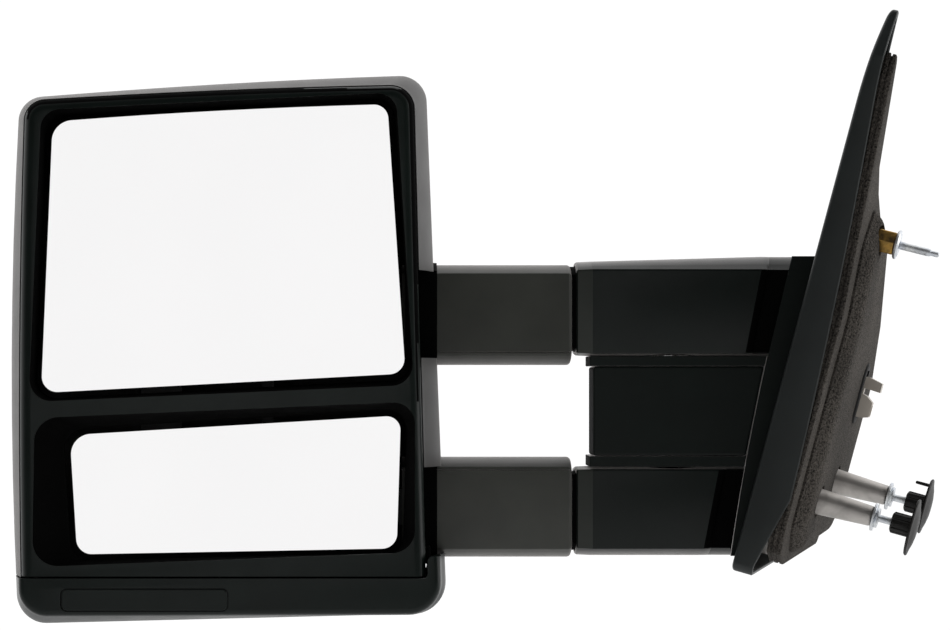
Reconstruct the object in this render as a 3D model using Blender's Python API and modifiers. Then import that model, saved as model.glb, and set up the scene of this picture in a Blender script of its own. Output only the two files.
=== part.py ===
"""Telescoping towing mirror for the left front door of a pickup truck.

The mirror head slides along two arms, the arms fold about an upright shaft in the pivot block,
and the block stands on a triangular sail base that is clamped to the door.

Lengths below are in millimetres and are scaled to metres when a mesh is made. Two frames are used:
- the design frame: +X towards the door, +Y forward, +Z up, Y = 0 at the middle of the arms;
- the seat frame: x out of the base towards the door, y forward and z up in the tilted base plane.
The finished part is shifted so that its origin is the seat point on the rear rim of the gasket.
"""
import math

import bmesh
import bpy
from mathutils import Euler, Matrix, Vector

MM = 0.001
GAP = 0.3                       # clearance between pieces that touch
PART_NAME = "towing_mirror"

# Base plane
SEAT_LEAN = math.radians(15)    # the base top leans towards the door
SEAT_YAW = math.radians(15.5)   # the base's front edge turns towards the door
SEAT_POINT = Vector((0, -32, -20))

# Sail base, in the seat frame
SAIL_FACE_X = -26
SAIL_OUTLINE = [(-50, -146), (-50, 178), (-44, 214), (-34, 196), (-8, 126), (72, 90),
                (160, 4), (160, -124), (146, -140)]
GASKET_OUTLINE = [(-10, -138), (-38, -130), (-47.5, -114), (-47.5, 166), (-38, 192), (-14, 116), (10, 101),
                  (68, 80), (152, -2), (152, -120), (141, -133)]
BULGE_OUTLINE = [(-24, -112), (-24, 66), (-2, 90), (44, 78), (142, -16), (142, -108), (128, -124), (0, -130)]
BULGE_HEIGHT = 9
BRACKET_OUTLINE = [(-10, -134), (-34, -124), (-41, -108), (-41, 120), (-20, 100), (60, 72), (146, -6), (146, -116), (134, -130)]
COVER_WALL = 2.5
CURL_START_Z = 150
WALL_DROP_Z = -110              # below here the side wall of the sail cover narrows
FALL_START_Z = 20               # the gasket's door side is flat up to here
GASKET_THICKNESS = 9.1
STUD_PLACE = (0, 72)
LOWER_BOSS_PLACES = {"rear": (10, -95), "front": (72, -84)}
BOSS_END_X = 43
GROMMET_PLACE = (76, -25)

# Fold pivot
FOLD_X = -108
SOCKET_DEPTH = 3.5              # reach of the arms' round noses into the pedestal
TONGUE_HALF_DEPTH = 14
TONGUE_MARGIN = 2
SHAFT_R = 9
FOLD_RANGE = (-20, 75)

# Arms: height of the centre line, X of the ends
SLEEVE_END_X = -169.7
SLEEVE_INNER_X = -274
ARM_START_X = -167
SLEEVE_MID_Z = {"upper": 22.3, "lower": -96.6}
ARM_HALF_DEPTH = 22
ARM_WALL = 2.5
RAIL_INNER_X = -400
RAIL_HALF = (6, 12)

# Head outlines: four corners as X, Z in the order top left, top right, bottom right, bottom left
HEAD_WIDEST = [(-507, 154), (-259.5, 168), (-246.5, -160.5), (-508.5, -167)]
HEAD_FRONT = [(-502.5, 151.5), (-265, 161), (-256.7, -156.5), (-504.5, -160.8)]
HEAD_RADII = (14, 16, 20, 17)
HEAD_CENTRE = (-380, 0)
HEAD_HALF = (130, 165)
HEAD_WALL = 2.0
CAP_SPLIT_Z = -136.6
CAP_STEP_X = -259.2              # inboard of here the cap rises to the lower arm
CAP_STEP_Z = -123.4
NOTCH_X = -267.5
UPPER_OPENING = [(-490.6, 144), (-277.6, 154.7), (-266.8, -21), (-498.2, -31.3)]
LOWER_OPENING = [(-494.6, -41), (-266.2, -31), (-266.2, -121.5), (-496, -130.3)]
UPPER_GLASS = [(-485.5, 138.4), (-282.2, 149), (-271.2, -14.8), (-492.5, -26.6)]
LOWER_GLASS = [(-476, -50.8), (-274, -38.8), (-276.5, -120.8), (-471.5, -124.4)]
UPPER_PIVOT = (-383, -37, 61.5)
LOWER_PIVOT = (-375, -31, -83)
JACK_OFFSET = 28
PAN_CLEARANCE = 2.6             # between a glass holder and its gimbal, for the holder's swing
BODY_ORIGINS = {
    "frame": (0, 0, 0),
    "arms": (FOLD_X, 0, 0),
    "head": (-250, 0, 0),
    "upper_tilt": UPPER_PIVOT,
    "upper_pan": UPPER_PIVOT,
    "lower_tilt": LOWER_PIVOT,
    "lower_pan": LOWER_PIVOT,
}
BODY_PARENTS = {
    "arms": "frame",
    "head": "arms",
    "upper_tilt": "head",
    "upper_pan": "upper_tilt",
    "lower_tilt": "head",
    "lower_pan": "lower_tilt",
}

# Colour, roughness, metallic
FINISHES = {
    "housing_plastic": ((0.035, 0.037, 0.038), 0.6, 0.0),
    "bezel_plastic": ((0.012, 0.013, 0.013), 0.35, 0.0),
    "sleeve_plastic": ((0.024, 0.024, 0.023), 0.5, 0.0),
    "arm_plastic": ((0.008, 0.011, 0.011), 0.45, 0.0),
    "mirror": ((0.95, 0.95, 0.95), 0.02, 1.0),
    "inner_plastic": ((0.02, 0.02, 0.02), 0.55, 0.0),
    "heater_film": ((0.10, 0.08, 0.05), 0.5, 0.0),
    "foam": ((0.045, 0.042, 0.038), 0.95, 0.0),
    "cast_metal": ((0.55, 0.53, 0.50), 0.45, 1.0),
    "zinc": ((0.80, 0.80, 0.80), 0.3, 1.0),
    "yellow_zinc": ((0.60, 0.48, 0.20), 0.35, 1.0),
    "steel": ((0.45, 0.45, 0.46), 0.35, 1.0),
    "brass": ((0.70, 0.52, 0.22), 0.35, 1.0),
    "cap_plastic": ((0.035, 0.032, 0.030), 0.6, 0.0),
    "rubber": ((0.010, 0.010, 0.010), 0.8, 0.0),
    "connector_plastic": ((0.50, 0.45, 0.40), 0.5, 0.0),
}


# ---------------------------------------------------------------- scene and bodies

def clear_scene():
    for item in list(bpy.data.objects):
        bpy.data.objects.remove(item)


def new_collection(name):
    group = bpy.data.collections.new(name)
    bpy.context.scene.collection.children.link(group)
    return group


def make_material(name):
    colour, roughness, metallic = FINISHES[name]
    finish = bpy.data.materials.new(name)
    finish.use_nodes = True
    shader = finish.node_tree.nodes["Principled BSDF"]
    shader.inputs["Base Color"].default_value = (*colour, 1)
    shader.inputs["Roughness"].default_value = roughness
    shader.inputs["Metallic"].default_value = metallic
    return finish


def make_empty(name, location, parent=None, rotation=None):
    empty = bpy.data.objects.new(name, None)
    empty.empty_display_size = 0.02
    empty.location = Vector(location) * MM
    if rotation:
        empty.rotation_euler = rotation
    empty.parent = parent
    PARTS.objects.link(empty)
    return empty


def seat_matrix():
    return Euler((0, SEAT_LEAN, -SEAT_YAW)).to_matrix()


def make_bodies():
    """One empty for each moving body, on its joint's axis, and one for the tilted seat frame."""
    shift = seat_matrix() @ SEAT_POINT
    empties = {"frame": make_empty("design_frame", -shift)}
    empties["seat"] = make_empty("seat_frame", (0, 0, 0), empties["frame"], (0, SEAT_LEAN, -SEAT_YAW))
    for body, parent in BODY_PARENTS.items():
        offset = Vector(BODY_ORIGINS[body]) - Vector(BODY_ORIGINS[parent])
        empties[body] = make_empty(body + "_axis", offset, empties[parent])
    return empties


def finish_object(name, shape, group):
    """Turns a bmesh in millimetres into an object in metres."""
    bmesh.ops.recalc_face_normals(shape, faces=shape.faces)
    bmesh.ops.scale(shape, vec=(MM, MM, MM), verts=shape.verts)
    mesh = bpy.data.meshes.new(name)
    shape.to_mesh(mesh)
    shape.free()
    item = bpy.data.objects.new(name, mesh)
    group.objects.link(item)
    return item


def place(item, body):
    item.parent = BODIES[body]
    item.location = -Vector(BODY_ORIGINS.get(body, (0, 0, 0))) * MM


def add_part(name, shape, finish, body, bevel=0.0, segments=1):
    """Adds one named piece, built in the design frame or, on body "seat", in the seat frame."""
    item = finish_object(name, shape, PARTS)
    item.data.materials.append(MATERIALS[finish])
    item.data.shade_smooth()
    item.data.set_sharp_from_angle(angle=math.radians(30))
    place(item, body)
    if bevel:
        rounding = item.modifiers.new("rounding", "BEVEL")
        rounding.width = bevel * MM
        rounding.segments = segments
        rounding.limit_method = "ANGLE"
        rounding.angle_limit = math.radians(40)
    return item


def combine(item, shape, body, operation="DIFFERENCE"):
    """Cuts the shape from the item, or joins it on."""
    tool = finish_object(item.name + "_" + operation.lower(), shape, CUTTERS)
    tool.hide_render = True
    tool.display_type = "WIRE"
    place(tool, body)
    step = item.modifiers.new(operation.lower(), "BOOLEAN")
    step.operation = operation
    step.object = tool
    step.solver = "EXACT"
    return item


# ---------------------------------------------------------------- outlines and solids

def box(low, high):
    shape = bmesh.new()
    bmesh.ops.create_cube(shape, size=1)
    size = Vector(high) - Vector(low)
    bmesh.ops.scale(shape, vec=size, verts=shape.verts)
    bmesh.ops.translate(shape, vec=(Vector(high) + Vector(low)) / 2, verts=shape.verts)
    return shape


def cylinder(start, axis, length, radius, end_radius=None, sides=24):
    """A cylinder or cone from start along one of the frame's axes."""
    shape = bmesh.new()
    end_radius = radius if end_radius is None else end_radius
    bmesh.ops.create_cone(shape, cap_ends=True, segments=sides, radius1=radius, radius2=end_radius, depth=length)
    turn = {"X": Matrix.Rotation(math.pi / 2, 3, "Y"), "Y": Matrix.Rotation(-math.pi / 2, 3, "X")}
    bmesh.ops.translate(shape, vec=(0, 0, length / 2), verts=shape.verts)
    if axis in turn:
        bmesh.ops.rotate(shape, matrix=turn[axis], verts=shape.verts)
    bmesh.ops.translate(shape, vec=start, verts=shape.verts)
    return shape


def loft(rings):
    """A closed solid through rings of the same number of points, with a flat face at each end."""
    shape = bmesh.new()
    loops = [[shape.verts.new(point) for point in ring] for ring in rings]
    count = len(rings[0])
    for first, second in zip(loops, loops[1:]):
        for i in range(count):
            j = (i + 1) % count
            shape.faces.new((first[i], first[j], second[j], second[i]))
    shape.faces.new(list(reversed(loops[0])))
    shape.faces.new(loops[-1])
    return shape


def turned(profile, start, axis, sides=24):
    """A solid of revolution from (distance along the axis, radius) pairs."""
    rings = []
    for along, radius in profile:
        ring = []
        for step in range(sides):
            angle = 2 * math.pi * step / sides
            u, v = radius * math.cos(angle), radius * math.sin(angle)
            offset = {"X": (along, u, v), "Y": (v, along, u), "Z": (u, v, along)}[axis]
            ring.append(Vector(start) + Vector(offset))
        rings.append(ring)
    return loft(rings)


def ring_solid(start, axis, length, inner, outer, sides=24):
    """A washer or a plain bush."""
    profile = [(0, inner), (0, outer), (length, outer), (length, inner), (0, inner)]
    shape = bmesh.new()
    loops = []
    for along, radius in profile[:-1]:
        loop = []
        for step in range(sides):
            angle = 2 * math.pi * step / sides
            u, v = radius * math.cos(angle), radius * math.sin(angle)
            offset = {"X": (along, u, v), "Y": (v, along, u), "Z": (u, v, along)}[axis]
            loop.append(shape.verts.new(Vector(start) + Vector(offset)))
        loops.append(loop)
    for first, second in zip(loops, loops[1:] + loops[:1]):
        for i in range(sides):
            j = (i + 1) % sides
            shape.faces.new((first[i], first[j], second[j], second[i]))
    return shape


def inset_polygon(points, distance):
    """Moves every edge of a clockwise or anticlockwise outline inwards by the distance."""
    area = sum(a[0] * b[1] - b[0] * a[1] for a, b in zip(points, points[1:] + points[:1]))
    side = 1 if area > 0 else -1
    moved = []
    count = len(points)
    for i in range(count):
        before, here, after = (Vector(points[k % count]) for k in (i - 1, i, i + 1))
        first = (here - before).normalized()
        second = (after - here).normalized()
        normals = [Vector((-edge.y, edge.x)) * side for edge in (first, second)]
        middle = (normals[0] + normals[1]).normalized()
        moved.append(tuple(here + middle * distance / middle.dot(normals[0])))
    return moved


def rounded(points, radii, steps=4):
    """Rounds the corners of an outline with arcs."""
    result = []
    count = len(points)
    for i in range(count):
        before, here, after = (Vector(points[k % count]) for k in (i - 1, i, i + 1))
        to_before = (before - here).normalized()
        to_after = (after - here).normalized()
        half = math.acos(max(-1, min(1, to_before.dot(to_after)))) / 2
        reach = radii[i] / math.tan(half)
        centre = here + (to_before + to_after).normalized() * radii[i] / math.sin(half)
        start = here + to_before * reach - centre
        end = here + to_after * reach - centre
        sweep = start.angle_signed(end)
        for step in range(steps + 1):
            turn = Matrix.Rotation(-sweep * step / steps, 2)
            result.append(tuple(centre + turn @ start))
    return result


def blend_corners(first, second, amount):
    return [(a[0] + (b[0] - a[0]) * amount, a[1] + (b[1] - a[1]) * amount) for a, b in zip(first, second)]


def swell(x, z, left, top):
    """Bows the head's outboard side out by left and its top by top."""
    u = (z - HEAD_CENTRE[1]) / HEAD_HALF[1]
    v = (x - HEAD_CENTRE[0]) / HEAD_HALF[0]
    if v < 0:
        x -= left * max(0, 1 - u * u) * v * v
    if u > 0:
        z += top * max(0, 1 - v * v) * u * u
    return x, z


def head_ring(corners, inset, y, left=5.0, top=2.0, radii=HEAD_RADII):
    """One cross-section of the head at depth y, with sides split so that they can bow."""
    shrunk = inset_polygon(corners, inset) if inset else corners
    outline = rounded(shrunk, [max(r - inset, 4) for r in radii])
    ring = []
    count = len(outline)
    for i in range(count):
        a, b = outline[i], outline[(i + 1) % count]
        ring.append((*a, y))
        length = math.dist(a, b)
        if length > 60:
            for part in (0.25, 0.5, 0.75):
                ring.append((a[0] + (b[0] - a[0]) * part, a[1] + (b[1] - a[1]) * part, y))
    return [Vector((*swell(x, z, left, top), depth)).xzy for x, z, depth in ring]


def head_form(extra, front):
    """Rings of the head's outer surface moved inwards by extra, starting with the front rings."""
    stages = [(-46, 0.5, 0), (-37, 0.86, 0), (-28, 1, 0), (0, 1, 2), (22, 1, 9), (38, 1, 24), (47, 1, 46)]
    rings = list(front)
    for y, amount, inset in stages:
        corners = blend_corners(HEAD_FRONT, HEAD_WIDEST, amount)
        depth = y - extra if y > 40 else y
        rings.append(head_ring(corners, inset + extra, depth, left=3 + 2 * amount))
    return rings


def plate(outline, low, high):
    """A flat plate in the XZ plane between two depths."""
    return loft([[(x, low, z) for x, z in outline], [(x, high, z) for x, z in outline]])


# ---------------------------------------------------------------- sail base

def at(x):
    """A place that is the same at every height."""
    return lambda z: x


def cover_width(z):
    """Width of the sail cover's side wall, which narrows towards the tip and at the bottom."""
    width = 21 - 0.048 * z - 0.00013 * z * z
    drop = min(1, max(0, (WALL_DROP_Z - z) / 14))
    return width - 12 * drop * drop * (3 - 2 * drop)


def curl_tip(shape):
    """Bends the top of the sail towards the door, from CURL_START_Z up."""
    for cut_z in (CURL_START_Z, CURL_START_Z + 22, CURL_START_Z + 42):
        geometry = shape.verts[:] + shape.edges[:] + shape.faces[:]
        bmesh.ops.bisect_plane(shape, geom=geometry, plane_co=(0, 0, cut_z), plane_no=(0, 0, 1))
    for vertex in shape.verts:
        rise = max(0, (vertex.co.z - CURL_START_Z) / 64)
        vertex.co.x += 6 * rise * rise


def gasket_face_x(z):
    """The gasket's door side, flat up to FALL_START_Z and falling back above it."""
    return -10 * max(0, z - FALL_START_Z) / 160


def fall_back(shape, in_front_of):
    """Leans everything above FALL_START_Z and in front of a plane back along the gasket's door side."""
    geometry = shape.verts[:] + shape.edges[:] + shape.faces[:]
    bmesh.ops.bisect_plane(shape, geom=geometry, plane_co=(0, 0, FALL_START_Z), plane_no=(0, 0, 1))
    for vertex in shape.verts:
        if vertex.co.x > in_front_of:
            vertex.co.x += gasket_face_x(vertex.co.z)
    return shape


def sail_ring(outline, offset_x):
    return [(offset_x(z), y, z) for y, z in outline]


def densified(outline, spacing):
    """Adds points along the long edges, so that a face can follow a curve."""
    result = []
    for a, b in zip(outline, outline[1:] + outline[:1]):
        steps = max(1, round(math.dist(a, b) / spacing))
        for step in range(steps):
            result.append((a[0] + (b[0] - a[0]) * step / steps, a[1] + (b[1] - a[1]) * step / steps))
    return result


def add_sail_cover():
    outer = densified(SAIL_OUTLINE, 12)
    chamfer = inset_polygon(outer, 2.5)
    inner = inset_polygon(outer, COVER_WALL)
    rings = [
        sail_ring(chamfer, at(SAIL_FACE_X)),
        sail_ring(outer, at(SAIL_FACE_X + 2)),
        sail_ring(outer, lambda z: SAIL_FACE_X + cover_width(z)),
        sail_ring(inner, lambda z: SAIL_FACE_X + cover_width(z)),
        sail_ring(inset_polygon(outer, COVER_WALL + 0.5), at(SAIL_FACE_X + 2.6)),
    ]
    shape = loft(rings)
    curl_tip(shape)
    return add_part("sail_cover", shape, "bezel_plastic", "seat")


def add_base_bracket():
    front = -GASKET_THICKNESS - 1.3
    plate_form = loft([sail_ring(BRACKET_OUTLINE, at(SAIL_FACE_X + 6)), sail_ring(BRACKET_OUTLINE, at(front))])
    bracket = add_part("base_bracket", fall_back(plate_form, front - 1), "cast_metal", "seat")
    for y, z in LOWER_BOSS_PLACES.values():
        combine(bracket, cylinder((-16, y, z), "X", 20, 5), "seat")
    return bracket


def add_gasket():
    outline = densified(GASKET_OUTLINE, 60)
    outline = inset_polygon(outline, 0.4)
    pad = loft([sail_ring(outline, at(-GASKET_THICKNESS)), sail_ring(outline, at(0))])
    gasket = add_part("base_gasket", fall_back(pad, -GASKET_THICKNESS - 1), "foam", "seat")
    stages = ((0, -6), (0, 1.5), (4, 0.75 * BULGE_HEIGHT), (11, BULGE_HEIGHT))
    bulge = loft([sail_ring(inset_polygon(BULGE_OUTLINE, inset), at(x)) for inset, x in stages])
    combine(gasket, fall_back(bulge, -20), "seat", "UNION")
    for y, z in LOWER_BOSS_PLACES.values():
        combine(gasket, cylinder((-20, y, z), "X", 40, 10.5), "seat")
    y, z = STUD_PLACE
    combine(gasket, cylinder((-20, y, z), "X", 40, 9.5), "seat")
    y, z = GROMMET_PLACE
    combine(gasket, oval((-20, y, z), 40, 10.5, 20, 0.5), "seat")
    return gasket


def oval(start, length, half_width, half_height, grow=0.0, steps=6):
    """A slot-shaped solid along x of the seat frame."""
    half_width += grow
    half_height += grow
    flat = half_height - half_width
    outline = []
    for side in (1, -1):
        for step in range(steps + 1):
            angle = math.pi * step / steps
            y = start[1] + side * half_width * math.cos(angle)
            z = start[2] + side * (half_width * math.sin(angle) + flat)
            outline.append((y, z))
    return loft([[(start[0], y, z) for y, z in outline], [(start[0] + length, y, z) for y, z in outline]])


def add_upper_stud():
    y, z = STUD_PLACE
    face = gasket_face_x(z)
    add_part("upper_stud_block", cylinder((-12, y, z), "X", 12 + face + 17, 8, sides=6), "yellow_zinc", "seat", 0.6)
    washer_x = face + 17 + GAP
    washer = turned([(0, 8.2), (0.8, 9.2), (1.8, 9.2), (2.6, 5.2)], (washer_x, y, z), "X", 24)
    add_part("upper_stud_flange", washer, "zinc", "seat")
    stud = [(0, 2.5), (20.5, 2.5), (22.5, 1.6), (24.5, 1.3)]
    add_part("upper_stud", turned(stud, (washer_x + 2.6 + GAP, y, z), "X", 16), "zinc", "seat")


def add_lower_mount(end):
    y, z = LOWER_BOSS_PLACES[end]
    boss = turned([(-8.9, 9), (8, 8.4), (12, 8), (BOSS_END_X, 5.6)], (0, y, z), "X", 20)
    boss_part = add_part("lower_boss_" + end, boss, "cast_metal", "seat")
    combine(boss_part, cylinder((BOSS_END_X - 18, y, z), "X", 30, 3.1, sides=16), "seat")
    washer_x = BOSS_END_X + GAP
    washer = ring_solid((washer_x, y, z), "X", 2.4, 3.1, 8.9)
    add_part("lower_washer_" + end, washer, "zinc", "seat")
    bolt = turned([(BOSS_END_X - 16, 2.4), (BOSS_END_X + 18, 2.4), (BOSS_END_X + 19, 1.8)], (0, y, z), "X", 16)
    add_part("lower_bolt_" + end, bolt, "zinc", "seat")
    stem = BOSS_END_X + 12
    profile = [(0, 5.4), (0.8, 6.8), (12, 6.8), (12.4, 17.4), (13.4, 18), (14.4, 17.4), (16, 12), (16.8, 4)]
    cap = add_part("bolt_cap_" + end, turned(profile, (stem, y, z), "X", 32), "cap_plastic", "seat")
    combine(cap, cylinder((stem - 2, y, z), "X", 11, 2.9, sides=16), "seat")


def add_harness_port():
    y, z = GROMMET_PLACE
    face = BULGE_HEIGHT
    grommet = add_part("harness_grommet", oval((-8, y, z), face + 9.5, 10.5, 20), "rubber", "seat")
    combine(grommet, box((face - 6, y - 5.5, z - 15.5), (face + 20, y + 5.5, z + 15.5)), "seat")
    lower = box((face - 5, y - 5, z - 15), (face + 9.5, y + 5, z + 1.5))
    connector = add_part("harness_connector", lower, "connector_plastic", "seat")
    combine(connector, box((face - 4, y - 4, z + 3.5), (face + 12.5, y + 4, z + 12)), "seat", "UNION")
    combine(connector, box((face - 3, y - 3, z), (face + 2, y + 3, z + 5)), "seat", "UNION")


# ---------------------------------------------------------------- fold pivot

def pedestal_left(z):
    """X of the pedestal's outboard face, in the design frame."""
    return -49.0 + 0.2285 * z + 0.00035 * min(0, z) * z


def sail_face_x(y, z):
    """X of the sail cover's outer face at a place in the design frame."""
    normal = seat_matrix() @ Vector((1, 0, 0))
    return (SAIL_FACE_X - GAP - normal.y * y - normal.z * z) / normal.x


def add_pedestal():
    rings = []
    low_y, high_y = -21, 30
    for z in (-126, -95, -63, -26, 13, 58):
        left = pedestal_left(z)
        rings.append([(left, low_y, z), (left, high_y, z),
                      (sail_face_x(high_y, z), high_y, z), (sail_face_x(low_y, z), low_y, z)])
    pedestal = add_part("pedestal_cover", loft(rings), "arm_plastic", "frame")
    for low_z, high_z in ((-128, -71.5), (-3.4, 60)):
        profile = [(z, pedestal_left(z) - FOLD_X + SOCKET_DEPTH + 0.5)
                   for z in (low_z + (high_z - low_z) * step / 6 for step in range(7))]
        combine(pedestal, turned(profile, (FOLD_X, 0, 0), "Z", 96), "frame")


def block_against_pedestal(left, half_depth, low_z, high_z):
    rings = []
    for z in (low_z, high_z):
        right = pedestal_left(z) - GAP
        rings.append([(left, -half_depth, z), (left, half_depth, z), (right, half_depth, z), (right, -half_depth, z)])
    return loft(rings)


def add_pivot_block():
    pieces = {"pivot_block": (-156.7, 20, -64.6, -9.5), "pivot_plate_upper": (-158.7, 20.6, -9.2, -3.8),
              "pivot_plate_lower": (-158.7, 20.6, -70.7, -64.9)}
    for name, (left, half_depth, low_z, high_z) in pieces.items():
        piece = add_part(name, block_against_pedestal(left, half_depth, low_z, high_z), "arm_plastic", "frame", 1.2)
        bore = cylinder((FOLD_X, 0, low_z - 5), "Z", high_z - low_z + 10, SHAFT_R + GAP)
        combine(piece, bore, "frame")


def add_shaft_stack():
    shaft = [(-119, 12), (-118, 14), (-113, 14), (-113, SHAFT_R), (49, SHAFT_R), (50, SHAFT_R - 1)]
    add_part("pivot_shaft", turned(shaft, (FOLD_X, 0, 0), "Z"), "steel", "frame")
    add_part("detent_ring", ring_solid((FOLD_X, 0, -3.5), "Z", 5.7, SHAFT_R + GAP, 18), "steel", "frame")
    add_part("spring_washer", ring_solid((FOLD_X, 0, 42.5), "Z", 1.8, SHAFT_R + GAP, 18), "zinc", "frame")
    nut = cylinder((FOLD_X, 0, 44.6), "Z", 4, 13, sides=6)
    nut_part = add_part("pivot_nut", nut, "zinc", "frame", 0.8)
    combine(nut_part, cylinder((FOLD_X, 0, 40), "Z", 16, SHAFT_R + GAP), "frame")
    add_fold_spring(24.8, 42.2)


def add_fold_spring(low_z, high_z):
    """The coil that presses the detent rings together."""
    wire, radius, turns, per_turn = 1.7, 13.6, 4, 14
    low, high = low_z + wire, high_z - wire
    curve = bpy.data.curves.new("fold_spring_path", "CURVE")
    curve.dimensions = "3D"
    curve.bevel_depth = wire * MM
    curve.bevel_resolution = 1
    curve.use_fill_caps = True
    count = turns * per_turn + 1
    spline = curve.splines.new("POLY")
    spline.points.add(count - 1)
    for i in range(count):
        angle = 2 * math.pi * i / per_turn
        z = low + (high - low) * i / (count - 1)
        point = (FOLD_X + radius * math.cos(angle), radius * math.sin(angle), z)
        spline.points[i].co = (*(Vector(point) * MM), 1)
    guide = bpy.data.objects.new("fold_spring_guide", curve)
    CUTTERS.objects.link(guide)
    evaluated = guide.evaluated_get(bpy.context.evaluated_depsgraph_get())
    mesh = bpy.data.meshes.new_from_object(evaluated)
    shape = bmesh.new()
    shape.from_mesh(mesh)
    bpy.data.objects.remove(guide)
    bpy.data.meshes.remove(mesh)
    bmesh.ops.remove_doubles(shape, verts=shape.verts, dist=1e-6)
    bmesh.ops.scale(shape, vec=(1 / MM, 1 / MM, 1 / MM), verts=shape.verts)
    add_part("fold_spring", shape, "steel", "frame")


# ---------------------------------------------------------------- arms

def arm_section(x_of_z, low, high, shoulder, flat, inset=0.0, narrow=0.0):
    """A cross-section of an arm: full height at its middle, lower at its front and rear faces.

    flat names the side that stays level because the pivot plate lies against it.
    """
    depth = ARM_HALF_DEPTH - inset - narrow
    top = high - inset
    bottom = low + inset
    top_side = high - 1.5 - inset if flat == "top" else shoulder[1] - inset
    low_side = low + 1.5 + inset if flat == "bottom" else shoulder[0] + inset
    points = [(-depth, low_side), (-depth, top_side), (-depth * 0.45, (top + top_side) / 2 + 0.8), (0, top),
              (depth * 0.45, (top + top_side) / 2 + 0.8), (depth, top_side), (depth, low_side),
              (depth * 0.45, (bottom + low_side) / 2 - 0.8), (0, bottom),
              (-depth * 0.45, (bottom + low_side) / 2 - 0.8)]
    if flat == "top":
        points[2:5] = [(-depth + 2, top), (0, top), (depth - 2, top)]
    if flat == "bottom":
        points[7:10] = [(depth - 2, bottom), (0, bottom), (-depth + 2, bottom)]
    return [(x_of_z(z), y, z) for y, z in points]


def add_sleeve(side):
    """The part of the arm that the head slides on, open at its inboard end."""
    mid = SLEEVE_MID_Z[side]
    low, high = mid - 31, mid + 31
    shoulder = (mid - 25.2, mid + 25.2)
    rings = [
        arm_section(at(SLEEVE_END_X), low, high, shoulder, None, 1.2),
        arm_section(at(SLEEVE_END_X - 1.2), low, high, shoulder, None),
        arm_section(at(SLEEVE_INNER_X), low, high, shoulder, None),
        arm_section(at(SLEEVE_INNER_X), low, high, shoulder, None, ARM_WALL),
        arm_section(at(SLEEVE_END_X - 3), low, high, shoulder, None, ARM_WALL),
    ]
    sleeve = add_part(side + "_arm_sleeve", loft(rings), "sleeve_plastic", "arms")
    reach_y, reach_z = RAIL_HALF[0] + GAP, RAIL_HALF[1] + GAP
    slot = box((SLEEVE_END_X - 20, -reach_y, mid - reach_z), (SLEEVE_END_X + 20, reach_y, mid + reach_z))
    combine(sleeve, slot, "arms")


ARM_COVERS = {
    "upper": {"low": -3.2, "high": 55.5, "rise": 3.0, "shoulder": (-1, 50.1), "flat": "bottom",
              "end": lambda z: -58.1 + 0.1937 * z},
    "lower": {"low": -126.6, "high": -71.3, "rise": 0.0, "shoulder": (-121.7, -73), "flat": "top",
              "end": lambda z: -60.5 + 0.1937 * z},
}


def arm_tongue(end, low, high):
    """A round-nosed wall that closes the view between an arm's end and the pedestal, centred on the shaft."""
    rings = []
    for step in range(7):
        z = low + (high - low) * step / 6
        radius = pedestal_left(z) - FOLD_X + SOCKET_DEPTH
        turn = math.asin(TONGUE_HALF_DEPTH / radius)
        nose = [turn * share for share in (-1, -0.6, -0.2, 0.2, 0.6, 1)]
        ring = [(FOLD_X + radius * math.cos(angle), radius * math.sin(angle), z) for angle in nose]
        start = end(z) - 2
        rings.append([(start, -TONGUE_HALF_DEPTH, z)] + ring + [(start, TONGUE_HALF_DEPTH, z)])
    return loft(rings)


def add_arm_cover(side):
    """The inboard cover of an arm, closed and slanted at the door end."""
    cover = ARM_COVERS[side]
    low, high, shoulder, flat, end = (cover[key] for key in ("low", "high", "shoulder", "flat", "end"))
    inner_end = lambda z: end(z) - 3
    crest = high + cover["rise"]
    rings = [
        arm_section(end, low, crest, shoulder, flat, 1.0, 4.0),
        arm_section(lambda z: end(z) - 5, low, crest, shoulder, flat),
        arm_section(at(ARM_START_X + 10), low, high, shoulder, flat),
        arm_section(at(ARM_START_X), low, high, shoulder, flat, 0.8, 1.0),
        arm_section(at(ARM_START_X), low, high, shoulder, flat, ARM_WALL),
        arm_section(at(ARM_START_X + 10), low, high, shoulder, flat, ARM_WALL),
        arm_section(lambda z: end(z) - 5, low, crest, shoulder, flat, ARM_WALL),
        arm_section(inner_end, low, crest, shoulder, flat, ARM_WALL + 1, 3.0),
    ]
    part = add_part(side + "_arm_cover", loft(rings), "arm_plastic", "arms")
    combine(part, arm_tongue(end, low + TONGUE_MARGIN, high - TONGUE_MARGIN), "arms", "UNION")
    middle = (low + high) / 2
    start = (FOLD_X, 0, middle - 40) if side == "upper" else (FOLD_X, 0, middle)
    combine(part, cylinder(start, "Z", 40, 18.6), "arms")


def add_rail(side):
    mid = SLEEVE_MID_Z[side]
    half_y, half_z = RAIL_HALF
    rail = box((RAIL_INNER_X, -half_y, mid - half_z), (-131, half_y, mid + half_z))
    add_part(side + "_rail", rail, "cast_metal", "arms", 1.0)
    stop = box((RAIL_INNER_X - 4, -half_y - 2, mid - half_z - 4), (RAIL_INNER_X - GAP, half_y + 2, mid + half_z + 4))
    add_part(side + "_rail_stop", stop, "inner_plastic", "arms", 1.0)


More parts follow.
